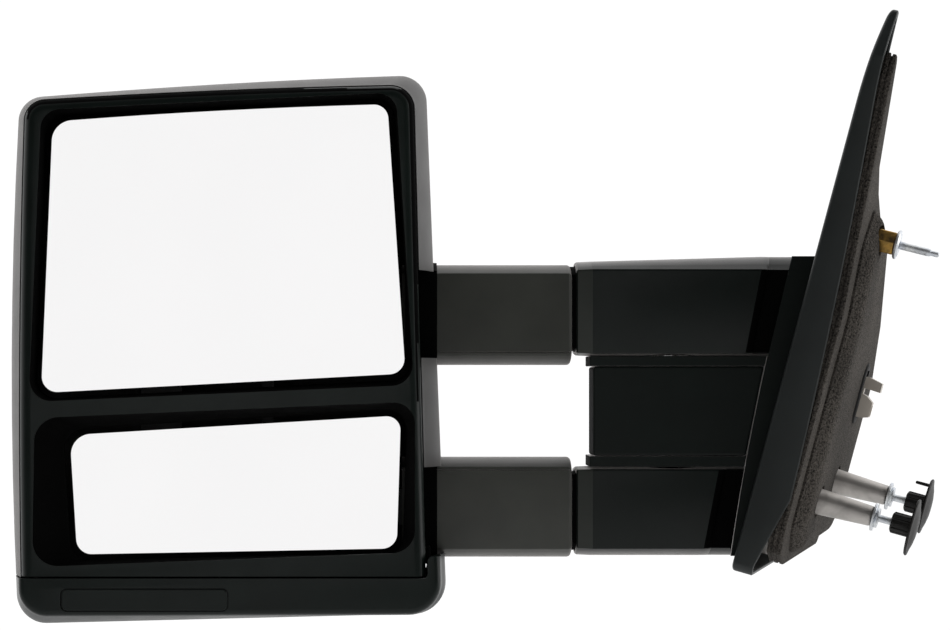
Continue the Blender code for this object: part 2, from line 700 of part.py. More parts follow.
def add_pivot_casting(side):
    """The casting inside an arm cover that turns on the shaft and carries the rail."""
    low, high = {"upper": (8.3, 24.4), "lower": (-112.6, -76.5)}[side]
    casting = box((-130.6, -17, low), (-90, 17, high))
    part = add_part(side + "_pivot_casting", casting, "cast_metal", "arms", 2.0)
    bush_r = SHAFT_R + GAP + 2.5
    combine(part, cylinder((FOLD_X, 0, low - 5), "Z", high - low + 10, bush_r + GAP), "arms")
    bush = ring_solid((FOLD_X, 0, low + 0.5), "Z", high - low - 1, SHAFT_R + GAP, bush_r)
    add_part(side + "_pivot_bush", bush, "brass", "arms")


def add_moving_detent():
    add_part("detent_follower", ring_solid((FOLD_X, 0, 2.6), "Z", 5.3, SHAFT_R + GAP, 17.8), "steel", "arms")


# ---------------------------------------------------------------- head shells

def arm_hole(side, grow, low_x, high_x):
    """A prism round an arm sleeve, used for the holes and collars of the head."""
    mid = SLEEVE_MID_Z[side]
    low, high = mid - 31 - grow, mid + 31 + grow
    shoulder = (mid - 25.2 - grow, mid + 25.2 + grow)
    wide = -grow
    rings = [arm_section(at(x), low, high, shoulder, None, 0.0, wide) for x in (low_x, high_x)]
    return loft(rings)


def above_cap(gap):
    """Everything above the stepped parting line of the lower cap, and a gap more."""
    low, high, step_x = CAP_SPLIT_Z - gap, CAP_STEP_Z - gap, CAP_STEP_X + gap
    outline = [(-560, low), (step_x, low), (step_x, high), (-200, high), (-200, 220), (-560, 220)]
    return plate(outline, -90, 80)


def below_housing():
    """Everything below the same line."""
    step_x = CAP_STEP_X - 3
    outline = [(-560, CAP_SPLIT_Z), (step_x, CAP_SPLIT_Z), (step_x, CAP_STEP_Z), (-200, CAP_STEP_Z),
               (-200, -220), (-560, -220)]
    return plate(outline, -90, 80)


def add_rear_housing():
    front = [head_ring(HEAD_FRONT, 0, -54, left=3)]
    housing = add_part("rear_housing", loft(head_form(0, front)), "housing_plastic", "head")
    hollow_front = [head_ring(HEAD_FRONT, HEAD_WALL, y, left=3) for y in (-80, -54)]
    combine(housing, loft(head_form(HEAD_WALL, hollow_front)), "head")
    combine(housing, below_housing(), "head")
    for side, mid in SLEEVE_MID_Z.items():
        combine(housing, arm_hole(side, 1.7, -290, -200), "head")
        combine(housing, box((NOTCH_X, -90, mid - 27), (-200, -15, mid + 26)), "head")


def add_lower_cap():
    front = [head_ring(HEAD_FRONT, 5, -59, left=3), head_ring(HEAD_FRONT, 2, -57.5, left=3),
             head_ring(HEAD_FRONT, 0, -54, left=3)]
    cap = add_part("lower_cap", loft(head_form(0, front)), "bezel_plastic", "head")
    combine(cap, above_cap(0.6), "head")
    combine(cap, arm_hole("lower", 1.7, -290, -200), "head")
    hollow_front = [head_ring(HEAD_FRONT, HEAD_WALL + 4, -56.5, left=3)]
    combine(cap, loft(head_form(HEAD_WALL, hollow_front)), "head")
    low, high = (-479, -60.5, -157.2), (-378, -55, -143)
    combine(cap, box(low, high), "head")
    inner = Vector((0.5, 0, 0.5))
    panel = box(Vector(low) + inner + Vector((0, 2.2, 0)), Vector(high) - inner - Vector((0, 1.5, 0)))
    add_part("cap_panel", panel, "bezel_plastic", "head", 0.5)


def add_bezel():
    inset = HEAD_WALL + 0.4
    rings = [head_ring(HEAD_FRONT, inset + extra, y, left=3)
             for y, extra in ((-60, 4.5), (-58.8, 1.6), (-56, 0), (-42, 0))]
    bezel = add_part("front_bezel", loft(rings), "bezel_plastic", "head")
    combine(bezel, box((-560, -90, -200), (-200, 80, CAP_SPLIT_Z + 0.6)), "head")
    upper = [(x, z) for x, z in rounded(UPPER_OPENING, (12, 12, 13, 13), 4)]
    lower_front = rounded(LOWER_OPENING, (15, 13, 14, 15), 4)
    lower_back = rounded(inset_polygon(LOWER_GLASS, -3), (12, 12, 12, 12), 4)
    upper_back = rounded(inset_polygon(UPPER_GLASS, -3), (12, 12, 12, 12), 4)
    for front, back in ((upper, upper_back), (lower_front, lower_back)):
        opening = loft([[(x, -70, z) for x, z in front], [(x, -59, z) for x, z in front],
                        [(x, -44, z) for x, z in back], [(x, -35, z) for x, z in back]])
        combine(bezel, opening, "head")


def add_collar(side):
    """The dark guide that lines a hole of the housing round its arm."""
    collar = add_part(side + "_arm_collar", arm_hole(side, 1.4, -272, -252.5), "inner_plastic", "head")
    combine(collar, arm_hole(side, 0.5, -300, -240), "head")


# ---------------------------------------------------------------- head internals

def add_head_bracket():
    """The pressed plate that carries both glasses and rides on the rails through two guides."""
    bracket = add_part("head_bracket", box((-436, -12, -124), (-353, -8.6, 104)), "cast_metal", "head", 1.0)
    combine(bracket, box((-410, -20, -48), (-360, 0, -14)), "head")
    half_y, half_z = RAIL_HALF
    for side, mid in SLEEVE_MID_Z.items():
        guide = box((-393, -half_y - 2, mid - half_z - 5), (-354, half_y + 5, mid + half_z + 5))
        part = add_part(side + "_rail_guide", guide, "inner_plastic", "head")
        bore = box((-400, -half_y - GAP, mid - half_z - GAP), (-340, half_y + GAP, mid + half_z + GAP))
        combine(part, bore, "head")


def add_actuator():
    """The two-axis power unit of the upper glass, with its two jack screws."""
    x, y, z = UPPER_PIVOT
    housing = add_part("actuator_housing", box((x - 38, -25, z - 38), (x + 33, -12.3, z + 38)), "inner_plastic",
                       "head", 3.0)
    post = turned([(0, 16), (4, 16), (5.2, 9)], (x, -30.5, z), "Y")
    add_part("actuator_post", post, "inner_plastic", "head")
    for name, dx, dz in (("tilt_jack", 0, -JACK_OFFSET), ("pan_jack", JACK_OFFSET, 0)):
        rod = turned([(0, 1.5), (1, 3), (9.4, 3)], (x + dx, -35.2, z + dz), "Y", 16)
        add_part(name, rod, "connector_plastic", "head")
        combine(housing, cylinder((x + dx, -27, z + dz), "Y", 7, 3.5, sides=16), "head")


def add_glass_set(side, corners, pivot, front_y):
    """A mirror glass on its holder, on a gimbal ring that tilts while the holder pans."""
    x, y, z = pivot
    outline = rounded(corners, (9, 9, 10, 10), 4)
    smaller = rounded(inset_polygon(corners, 6), (6, 6, 6, 6), 4)
    add_part(side + "_glass", plate(outline, front_y, front_y + 2), "mirror", side + "_pan")
    heater_y = front_y + 2 + GAP
    heater = plate(smaller, heater_y, heater_y + 0.5)
    holder_y = heater_y + 0.5 + GAP
    if side == "upper":
        add_part("upper_heater_pad", heater, "heater_film", "upper_pan")
    holder = plate(rounded(inset_polygon(corners, 0.6), (9, 9, 9, 9), 4), holder_y, holder_y + 2.5)
    add_part(side + "_glass_holder", holder, "inner_plastic", side + "_pan")
    ring_y = holder_y + 2.5 + PAN_CLEARANCE
    ring = ring_solid((x, ring_y, z), "Y", 3.0, 13.5, 18)
    add_part(side + "_gimbal", ring, "inner_plastic", side + "_tilt")


def add_lower_socket():
    x, y, z = LOWER_PIVOT
    post = turned([(0, 9), (1.2, 14), (15, 17)], (x, -28, z), "Y")
    add_part("lower_swivel_post", post, "inner_plastic", "head")


# ---------------------------------------------------------------- build

clear_scene()
PARTS = new_collection(PART_NAME)
CUTTERS = new_collection("cutters")
MATERIALS = {name: make_material(name) for name in FINISHES}
BODIES = make_bodies()

add_sail_cover()
add_base_bracket()
add_gasket()
add_upper_stud()
for boss_end in LOWER_BOSS_PLACES:
    add_lower_mount(boss_end)
add_harness_port()
add_pedestal()
add_pivot_block()
add_shaft_stack()
for arm_side in SLEEVE_MID_Z:
    add_sleeve(arm_side)
    add_arm_cover(arm_side)
    add_rail(arm_side)
    add_pivot_casting(arm_side)
    add_collar(arm_side)
add_moving_detent()
add_rear_housing()
add_lower_cap()
add_bezel()
add_head_bracket()
add_actuator()
add_glass_set("upper", UPPER_GLASS, UPPER_PIVOT, -50)
add_glass_set("lower", LOWER_GLASS, LOWER_PIVOT, -43)
add_lower_socket()
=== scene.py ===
"""Looks of the telescoping towing mirror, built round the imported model.

Lengths are in millimetres in two frames, as the design has them:
- the design frame: +X towards the door, +Y forward, +Z up, Y = 0 at the middle of the arms;
- the seat frame: x out of the base towards the door, y forward and z up in the tilted base plane.
"""
import math

import bmesh
import bpy
from mathutils import Euler, Matrix, Vector


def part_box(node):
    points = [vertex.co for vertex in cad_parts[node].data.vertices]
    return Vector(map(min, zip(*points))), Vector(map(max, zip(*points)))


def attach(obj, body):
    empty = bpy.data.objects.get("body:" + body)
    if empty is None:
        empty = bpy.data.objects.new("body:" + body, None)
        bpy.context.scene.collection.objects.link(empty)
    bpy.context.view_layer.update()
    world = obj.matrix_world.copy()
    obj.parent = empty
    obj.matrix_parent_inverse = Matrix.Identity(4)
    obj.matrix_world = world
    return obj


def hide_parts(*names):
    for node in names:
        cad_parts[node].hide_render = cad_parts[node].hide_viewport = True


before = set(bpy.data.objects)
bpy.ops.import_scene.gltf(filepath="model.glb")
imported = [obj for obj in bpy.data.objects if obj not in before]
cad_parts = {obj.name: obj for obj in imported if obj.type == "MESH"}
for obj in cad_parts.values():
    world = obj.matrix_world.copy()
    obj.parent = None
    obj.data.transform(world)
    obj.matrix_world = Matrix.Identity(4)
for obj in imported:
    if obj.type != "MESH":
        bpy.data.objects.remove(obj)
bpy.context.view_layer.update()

MM = 0.001
SEAT_LEAN = math.radians(15)
SEAT_YAW = math.radians(15.5)
FOLD_X = -108
SHAFT_FOOT_Z = -119

# The design frame's origin, read from the pivot shaft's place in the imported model
shaft_low, shaft_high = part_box("pivot_shaft")
ORIGIN = Vector(((shaft_low[0] + shaft_high[0]) / 2 - FOLD_X * MM,
                 (shaft_low[1] + shaft_high[1]) / 2,
                 shaft_low[2] - SHAFT_FOOT_Z * MM))
SEAT_TURN = Euler((0, SEAT_LEAN, -SEAT_YAW)).to_matrix()

# Light and finishes
WORLD_FRONT = 0.05
WORLD_BACK = 1.45
WORLD_TURN = (-0.55, 0.15)
FLOOR_HALF = 4.0
FLOOR_Z = -1.1
GLOSS_SPREAD = 0.06
SCRATCH_STRENGTH = 0.05
FACING = 0.98
SIDEWAYS = 0.8

# Head outlines: four corners as X, Z in the order top left, top right, bottom right, bottom left
HEAD_WIDEST = [(-507, 154), (-259.5, 168), (-246.5, -160.5), (-508.5, -167)]
HEAD_FRONT = [(-502.5, 151.5), (-265, 161), (-256.7, -156.5), (-504.5, -160.8)]
HEAD_RADII = (14, 16, 20, 17)
HEAD_CENTRE = (-380, 0)
HEAD_HALF = (130, 165)
HEAD_WALL = 2.0
HEAD_SEAM_Y = -54
HEAD_WIDEST_Y = -28
HEAD_BACK_Y = 47
CAP_SPLIT_Z = -136.6
CAP_STEP_X = -259.2
CAP_STEP_Z = -123.4
NOTCH_X = -267.5
RIM_TAPER = 1.5
CAP_FLARE = 0.72
HEAD_MID_X = -380
UPPER_OPENING = [(-490.6, 144), (-277.6, 154.7), (-266.8, -21), (-498.2, -31.3)]
LOWER_OPENING = [(-494.6, -41), (-266.2, -31), (-266.2, -121.5), (-496, -130.3)]
UPPER_GLASS = [(-485.5, 138.4), (-282.2, 149), (-271.2, -14.8), (-492.5, -26.6)]
LOWER_GLASS = [(-476, -50.8), (-274, -38.8), (-276.5, -120.8), (-471.5, -124.4)]
UPPER_GLASS_Y = -50
LOWER_GLASS_Y = -43
GLASS_RADII = (13, 9, 10, 10)
CORNER_STEPS = 12

# Arms
SLEEVE_END_X = -169.7
SLEEVE_INNER_X = -274
ARM_START_X = -167
SLEEVE_MID_Z = {"upper": 22.3, "lower": -96.6}
ARM_HALF_DEPTH = 22
ARM_WALL = 2.5
# Length of the painted light band at each cover's start, and of the painted shade at its leaning end
LIT_BAND_LENGTH = 9.7
SHADE_END_LENGTH = 4.5
COVER_BORE_RADIUS = 18.6
BLOCK_BORE_RADIUS = 9.3
SOCKET_DEPTH = 3.5
SOCKET_GAP = 0.5
TONGUE_INSET = 0.1
TONGUE_NARROW = 4.2

# Sail base
SAIL_FACE_X = -26
SAIL_OUTLINE = [(-50, -146), (-50, 178), (-44, 214), (-34, 196), (-8, 126), (72, 90),
                (160, 4), (160, -124), (146, -140)]
GASKET_OUTLINE = [(-10, -138), (-38, -130), (-47.5, -114), (-47.5, 166), (-38, 192), (-14, 116), (10, 101),
                  (68, 80), (152, -2), (152, -120), (141, -133)]
BULGE_OUTLINE = [(-24, -112), (-24, 66), (-2, 90), (44, 78), (142, -16), (142, -108), (128, -124), (0, -130)]
BULGE_HEIGHT = 9
CURL_START_Z = 150
WALL_DROP_Z = -110
FALL_START_Z = 20
GASKET_THICKNESS = 9.1
BOSS_HOLE_RADIUS = 10.5
STUD_HOLE_RADIUS = 9.5
STUD_PLACE = (0, 72)
LOWER_BOSS_PLACES = {"rear": (10, -95), "front": (72, -84)}
BOSS_END_X = 43
GROMMET_PLACE = (76, -25)


# ---------------------------------------------------------------- camera, light and floor

def make_camera():
    """The camera looks straight along +Y, and a small shift frames the mirror."""
    data = bpy.data.cameras.new("camera")
    data.sensor_width = 36
    data.lens = 107.4
    data.shift_x = 0.0789
    data.shift_y = 0.0737
    data.clip_end = 60
    camera = bpy.data.objects.new("camera", data)
    bpy.context.scene.collection.objects.link(camera)
    camera.location = ORIGIN + Vector((-275.2, -1760, -21.1)) * MM
    camera.rotation_euler = (math.pi / 2, 0, 0)
    bpy.context.scene.camera = camera


def make_area_light(name, place, aim, size, power):
    """A soft rectangular light at place, turned towards aim, both in metres from the design origin."""
    data = bpy.data.lights.new(name, "AREA")
    data.shape = "RECTANGLE"
    data.size, data.size_y = size
    data.energy = power
    light = bpy.data.objects.new(name, data)
    bpy.context.scene.collection.objects.link(light)
    light.location = ORIGIN + Vector(place)
    direction = ORIGIN + Vector(aim) - light.location
    light.rotation_euler = direction.to_track_quat("-Z", "Y").to_euler()
    light.visible_camera = False


def make_world():
    """White to the camera; as a light, bright from the sides and behind and dim from the front."""
    world = bpy.data.worlds.new("studio")
    bpy.context.scene.world = world
    world.use_nodes = True
    nodes, links = world.node_tree.nodes, world.node_tree.links
    nodes.clear()
    direction = nodes.new("ShaderNodeTexCoord")
    split = nodes.new("ShaderNodeSeparateXYZ")
    ramp = nodes.new("ShaderNodeMapRange")
    ramp.inputs["From Min"].default_value = WORLD_TURN[0]
    ramp.inputs["From Max"].default_value = WORLD_TURN[1]
    ramp.inputs["To Min"].default_value = WORLD_FRONT
    ramp.inputs["To Max"].default_value = WORLD_BACK
    light = nodes.new("ShaderNodeBackground")
    shown = nodes.new("ShaderNodeBackground")
    shown.inputs["Color"].default_value = (1, 1, 1, 1)
    shown.inputs["Strength"].default_value = 1.05
    rays = nodes.new("ShaderNodeLightPath")
    mix = nodes.new("ShaderNodeMixShader")
    output = nodes.new("ShaderNodeOutputWorld")
    links.new(direction.outputs["Generated"], split.inputs[0])
    links.new(split.outputs["Y"], ramp.inputs["Value"])
    links.new(ramp.outputs["Result"], light.inputs["Strength"])
    links.new(rays.outputs["Is Camera Ray"], mix.inputs[0])
    links.new(light.outputs[0], mix.inputs[1])
    links.new(shown.outputs[0], mix.inputs[2])
    links.new(mix.outputs[0], output.inputs[0])


def make_stage():
    """A plain pale floor, well below the mirror."""
    data = bpy.data.meshes.new("floor")
    half = FLOOR_HALF
    corners = [(x, y, FLOOR_Z) for x, y in ((-half, -half), (half, -half), (half, half), (-half, half))]
    data.from_pydata(corners, [], [(0, 1, 2, 3)])
    floor = bpy.data.objects.new("floor", data)
    bpy.context.scene.collection.objects.link(floor)
    pale = bpy.data.materials.new("pale_floor")
    pale.use_nodes = True
    shader = pale.node_tree.nodes["Principled BSDF"]
    shader.inputs["Base Color"].default_value = (0.85, 0.85, 0.85, 1)
    shader.inputs["Roughness"].default_value = 0.9
    data.materials.append(pale)


def make_lights():
    make_area_light("mirror_card", (-0.49, -1.95, 0.04), (-0.49, 0, 0.04), (0.62, 0.86), 1.55)
    make_area_light("door_side", (1.5, -0.35, 0.35), (0.02, 0, 0), (1.2, 1.4), 9.5)


# ---------------------------------------------------------------- materials

def node_tools(material):
    tree = material.node_tree
    shader = tree.nodes["Principled BSDF"]

    def add(kind, **values):
        node = tree.nodes.new(kind)
        for key, value in values.items():
            if key in node.inputs:
                node.inputs[key].default_value = value
            else:
                setattr(node, key, value)
        return node

    return tree, shader, add


def new_material(name, roughness, metallic=0.0):
    material = bpy.data.materials.new(name)
    material.use_nodes = True
    shader = material.node_tree.nodes["Principled BSDF"]
    shader.inputs["Roughness"].default_value = roughness
    shader.inputs["Metallic"].default_value = metallic
    return material


def set_ramp(ramp, stops):
    elements = ramp.color_ramp.elements
    while len(elements) < len(stops):
        elements.new(0.5)
    for element, (position, colour) in zip(elements, stops):
        element.position = position
        element.color = (*colour, 1) if len(colour) == 3 else (colour[0], colour[0], colour[0], 1)


def scaled(colour, factor):
    return tuple(min(1, channel * factor) for channel in colour)


def moulded_plastic(name, colour, roughness, grain_scale=1600, grain=0.12, specular=0.5, sheen=0.0):
    """Moulded plastic: slight blotches of shade, uneven gloss and a fine spark-eroded grain."""
    material = new_material(name, roughness)
    tree, shader, add = node_tools(material)
    shader.inputs["Specular IOR Level"].default_value = specular
    shader.inputs["Sheen Weight"].default_value = sheen
    shader.inputs["Sheen Roughness"].default_value = 0.3
    shader.inputs["Sheen Tint"].default_value = (1, 0.95, 0.93, 1)
    place = add("ShaderNodeTexCoord")
    blotch = add("ShaderNodeTexNoise", Scale=28, Detail=4)
    ramp = add("ShaderNodeValToRGB")
    set_ramp(ramp, [(0.3, scaled(colour, 0.82)), (0.7, scaled(colour, 1.2))])
    gloss = add("ShaderNodeTexNoise", Scale=70, Detail=5)
    limits = {"To Min": roughness - GLOSS_SPREAD, "To Max": roughness + GLOSS_SPREAD}
    gloss_range = add("ShaderNodeMapRange", **limits)
    pits = add("ShaderNodeTexNoise", Scale=grain_scale, Detail=3, Roughness=0.6)
    bump = add("ShaderNodeBump", Strength=grain, Distance=0.0002)
    for texture in (blotch, gloss, pits):
        tree.links.new(place.outputs["Object"], texture.inputs["Vector"])
    tree.links.new(blotch.outputs["Fac"], ramp.inputs["Fac"])
    tree.links.new(ramp.outputs["Color"], shader.inputs["Base Color"])
    tree.links.new(gloss.outputs["Fac"], gloss_range.inputs["Value"])
    tree.links.new(gloss_range.outputs["Result"], shader.inputs["Roughness"])
    tree.links.new(pits.outputs["Fac"], bump.inputs["Height"])
    tree.links.new(bump.outputs["Normal"], shader.inputs["Normal"])
    return material


def mirror_glass(name, colour):
    """Silvered glass with faint wiping marks in its gloss."""
    material = new_material(name, 0.01, 1.0)
    tree, shader, add = node_tools(material)
    place = add("ShaderNodeTexCoord")
    haze = add("ShaderNodeTexNoise", Scale=9, Detail=3)
    shade = add("ShaderNodeValToRGB")
    set_ramp(shade, [(0.3, scaled(colour, 0.985)), (0.7, colour)])
    gloss = add("ShaderNodeMapRange", **{"To Min": 0.005, "To Max": 0.03})
    tree.links.new(place.outputs["Object"], haze.inputs["Vector"])
    tree.links.new(haze.outputs["Fac"], shade.inputs["Fac"])
    tree.links.new(shade.outputs["Color"], shader.inputs["Base Color"])
    tree.links.new(haze.outputs["Fac"], gloss.inputs["Value"])
    tree.links.new(gloss.outputs["Result"], shader.inputs["Roughness"])
    return material


def plated_metal(name, colour, roughness, blotch_colour, blotch_scale=120):
    """Plated steel: a patchy film colour, fine scratches and uneven gloss."""
    material = new_material(name, roughness, 1.0)
    tree, shader, add = node_tools(material)
    place = add("ShaderNodeTexCoord")
    patches = add("ShaderNodeTexNoise", Scale=blotch_scale, Detail=5)
    ramp = add("ShaderNodeValToRGB")
    set_ramp(ramp, [(0.35, blotch_colour), (0.6, colour)])
    stretch = add("ShaderNodeMapping", Scale=(60, 900, 900))
    scratches = add("ShaderNodeTexNoise", Scale=3, Detail=4)
    gloss = add("ShaderNodeMapRange", **{"To Min": roughness * 0.7, "To Max": roughness * 1.4})
    bump = add("ShaderNodeBump", Strength=SCRATCH_STRENGTH, Distance=0.0002)
    tree.links.new(place.outputs["Object"], patches.inputs["Vector"])
    tree.links.new(place.outputs["Object"], stretch.inputs["Vector"])
    tree.links.new(stretch.outputs["Vector"], scratches.inputs["Vector"])
    tree.links.new(patches.outputs["Fac"], ramp.inputs["Fac"])
    tree.links.new(ramp.outputs["Color"], shader.inputs["Base Color"])
    tree.links.new(patches.outputs["Fac"], gloss.inputs["Value"])
    tree.links.new(gloss.outputs["Result"], shader.inputs["Roughness"])
    tree.links.new(scratches.outputs["Fac"], bump.inputs["Height"])
    tree.links.new(bump.outputs["Normal"], shader.inputs["Normal"])
    return material


def cast_metal(name, colour, roughness):
    """Die-cast metal with a sandy skin and darker flow marks."""
    material = new_material(name, roughness, 0.85)
    tree, shader, add = node_tools(material)
    place = add("ShaderNodeTexCoord")
    flow = add("ShaderNodeTexNoise", Scale=55, Detail=6, Distortion=0.8)
    ramp = add("ShaderNodeValToRGB")
    set_ramp(ramp, [(0.3, scaled(colour, 0.62)), (0.62, colour)])
    sand = add("ShaderNodeTexNoise", Scale=900, Detail=4)
    bump = add("ShaderNodeBump", Strength=0.35, Distance=0.0003)
    for texture in (flow, sand):
        tree.links.new(place.outputs["Object"], texture.inputs["Vector"])
    tree.links.new(flow.outputs["Fac"], ramp.inputs["Fac"])
    tree.links.new(ramp.outputs["Color"], shader.inputs["Base Color"])
    tree.links.new(sand.outputs["Fac"], bump.inputs["Height"])
    tree.links.new(bump.outputs["Normal"], shader.inputs["Normal"])
    return material


def speckled_foam(name, dark, light):
    """Skinned foam: pale crumbs and dark pores over a brown-black base."""
    material = new_material(name, 0.95)
    tree, shader, add = node_tools(material)
    shader.inputs["Specular IOR Level"].default_value = 0.25
    place = add("ShaderNodeTexCoord")
    crumbs = add("ShaderNodeTexVoronoi", Scale=620, feature="F1")
    broad = add("ShaderNodeTexNoise", Scale=22, Detail=4)
    fine = add("ShaderNodeTexNoise", Scale=850, Detail=4, Roughness=0.7)
    speckle = add("ShaderNodeValToRGB")
    set_ramp(speckle, [(0.36, dark), (0.5, scaled(light, 0.55)), (0.66, light)])
    shade = add("ShaderNodeValToRGB")
    set_ramp(shade, [(0.3, (0.6,)), (0.7, (1.0,))])
    mix = add("ShaderNodeMix", data_type="RGBA", blend_type="MULTIPLY")
    mix.inputs[0].default_value = 1.0
    bump = add("ShaderNodeBump", Strength=0.9, Distance=0.0006)
    height = add("ShaderNodeMath", operation="ADD")
    for texture in (crumbs, broad, fine):
        tree.links.new(place.outputs["Object"], texture.inputs["Vector"])
    tree.links.new(fine.outputs["Fac"], speckle.inputs["Fac"])
    tree.links.new(broad.outputs["Fac"], shade.inputs["Fac"])
    tree.links.new(speckle.outputs["Color"], mix.inputs[6])
    tree.links.new(shade.outputs["Color"], mix.inputs[7])
    tree.links.new(mix.outputs[2], shader.inputs["Base Color"])
    tree.links.new(crumbs.outputs["Distance"], height.inputs[0])
    tree.links.new(fine.outputs["Fac"], height.inputs[1])
    tree.links.new(height.outputs[0], bump.inputs["Height"])
    tree.links.new(bump.outputs["Normal"], shader.inputs["Normal"])
    return material


def make_materials():
    return {
        "housing": moulded_plastic("housing_plastic", (0.045, 0.044, 0.043), 0.5,
                                   grain_scale=1500, grain=0.25, sheen=0.35),
        "bezel": moulded_plastic("bezel_plastic", (0.005, 0.009, 0.0075), 0.34,
                                 grain_scale=1900, grain=0.10, specular=0.28),
        # Near-black with almost no gloss: painted shade for recesses, gaps and faces that lie in shade
        "painted_shade": moulded_plastic("painted_shade_black", (0.0015, 0.0015, 0.0015), 0.8, specular=0.04),
        # A lighter copy of the arm plastic: painted light on the angled band at each cover's start
        "painted_light_band": moulded_plastic("painted_light_band_plastic", (0.020, 0.024, 0.019), 0.45,
                                    grain_scale=1300, grain=0.2, specular=0.4, sheen=0.5),
        "sail": moulded_plastic("sail_plastic", (0.012, 0.016, 0.0155), 0.45, grain_scale=1500, grain=0.15),
        "sleeve": moulded_plastic("sleeve_plastic", (0.040, 0.042, 0.035), 0.5,
                                  grain_scale=1300, grain=0.25, sheen=0.9),
        "arm": moulded_plastic("arm_plastic", (0.0014, 0.0046, 0.0034), 0.36,
                               grain_scale=1300, grain=0.2, specular=0.28, sheen=1.0),
        "inner": moulded_plastic("inner_plastic", (0.006, 0.006, 0.006), 0.6, grain_scale=900, grain=0.2),
        # Black metal as painted shade for parts seen only through dark gaps
        "painted_shade_metal": moulded_plastic("painted_shade_metal_black", (0.010, 0.010, 0.010), 0.4,
                                  grain_scale=2200, grain=0.1),
        "rubber": moulded_plastic("black_rubber", (0.008, 0.008, 0.008), 0.75, grain_scale=700, grain=0.3),
        "cap": moulded_plastic("cap_nylon", (0.014, 0.013, 0.012), 0.5,
                               grain_scale=1100, grain=0.2, specular=0.3),
        "connector": moulded_plastic("natural_nylon", (0.52, 0.47, 0.41), 0.42,
                                     grain_scale=800, grain=0.15),
        "heater": moulded_plastic("heater_film", (0.10, 0.08, 0.05), 0.5),
        "mirror": mirror_glass("mirror_glass", (0.96, 0.955, 0.957)),
        "foam": speckled_foam("speckled_foam", (0.004, 0.004, 0.003), (0.13, 0.115, 0.10)),
        "cast": cast_metal("cast_metal", (0.60, 0.57, 0.54), 0.42),
        "zinc": plated_metal("zinc_plate", (0.90, 0.92, 0.93), 0.42, (0.62, 0.65, 0.70)),
        "yellow": plated_metal("yellow_zinc", (0.50, 0.30, 0.08), 0.3, (0.16, 0.11, 0.05), 200),
        "steel": plated_metal("ground_steel", (0.50, 0.50, 0.51), 0.3, (0.40, 0.39, 0.38)),
        "brass": plated_metal("sintered_brass", (0.70, 0.52, 0.22), 0.35, (0.5, 0.36, 0.15)),
    }


CAD_FINISHES = {
    "cast": ["base_bracket", "upper_pivot_casting", "lower_pivot_casting"],
    # The head bracket and rails are painted black as shade, where they show through gaps
    "painted_shade_metal": ["head_bracket", "upper_rail", "lower_rail"],
    "inner": ["upper_glass_holder", "lower_glass_holder", "upper_gimbal", "lower_gimbal", "actuator_housing",
              "actuator_post", "lower_swivel_post", "upper_rail_guide", "lower_rail_guide", "upper_rail_stop",
              "lower_rail_stop"],
    # The arm collars get the near-black painted shade
    "painted_shade": ["upper_arm_collar", "lower_arm_collar"],
    "heater": ["upper_heater_pad"],
    "steel": ["pivot_shaft", "detent_ring", "detent_follower", "fold_spring"],
    "brass": ["upper_pivot_bush", "lower_pivot_bush"],
    "zinc": ["spring_washer", "pivot_nut"],
    "connector": ["tilt_jack", "pan_jack"],
}


def finish_cad_nodes():
    """Gives each node that stays its finished material."""
    for finish, names in CAD_FINISHES.items():
        for name in names:
            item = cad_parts[name]
            item.data.materials.clear()
            item.data.materials.append(MATERIALS[finish])


# ---------------------------------------------------------------- pieces

def to_world(shape, seat=False):
    turn = SEAT_TURN.to_4x4() if seat else Matrix.Identity(4)
    bmesh.ops.recalc_face_normals(shape, faces=shape.faces)
    shape.transform(Matrix.Translation(ORIGIN) @ turn @ Matrix.Scale(MM, 4))
    mesh = bpy.data.meshes.new("shape")
    shape.to_mesh(mesh)
    shape.free()
    return mesh


def piece(name, shape, finish, body, replaced="", seat=False, rounding=0.0, segments=3, angle=35):
    """A visible piece from a shape in millimetres, which moves with a body and may stand for a CAD node."""
    mesh = to_world(shape, seat)
    mesh.name = name
    item = bpy.data.objects.new(name, mesh)
    bpy.context.scene.collection.objects.link(item)
    mesh.materials.append(MATERIALS[finish])
    mesh.shade_smooth()
    mesh.set_sharp_from_angle(angle=math.radians(angle))
    if rounding:
        add_rounding(item, rounding, segments, angle)
    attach(item, body)
    if replaced:
        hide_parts(replaced)
    return item


def add_rounding(item, width, segments=3, angle=35):
    step = item.modifiers.new("rounding", "BEVEL")
    step.width = width * MM
    step.segments = segments
    step.limit_method = "ANGLE"
    step.angle_limit = math.radians(angle)
    step.harden_normals = True


def join_shape(item, shape, operation="DIFFERENCE", seat=False, angle=35):
    """Cuts the shape out of the piece, or joins it on, and keeps the result as the piece's mesh."""
    tool = bpy.data.objects.new("tool", to_world(shape, seat))
    bpy.context.scene.collection.objects.link(tool)
    step = item.modifiers.new("join", "BOOLEAN")
    step.operation = operation
    step.solver = "EXACT"
    step.object = tool
    others = [m for m in item.modifiers if m != step]
    for other in others:
        other.show_viewport = False
    bpy.context.view_layer.update()
    evaluated = item.evaluated_get(bpy.context.evaluated_depsgraph_get())
    mesh = bpy.data.meshes.new_from_object(evaluated)
    item.modifiers.remove(step)
    for other in others:
        other.show_viewport = True
    mesh.name = item.name
    item.data = mesh
    bpy.data.objects.remove(tool)
    mesh.shade_smooth()
    mesh.set_sharp_from_angle(angle=math.radians(angle))


# ---------------------------------------------------------------- outlines and solids

def box(low, high):
    shape = bmesh.new()
    bmesh.ops.create_cube(shape, size=1)
    bmesh.ops.scale(shape, vec=Vector(high) - Vector(low), verts=shape.verts)
    bmesh.ops.translate(shape, vec=(Vector(high) + Vector(low)) / 2, verts=shape.verts)
    return shape


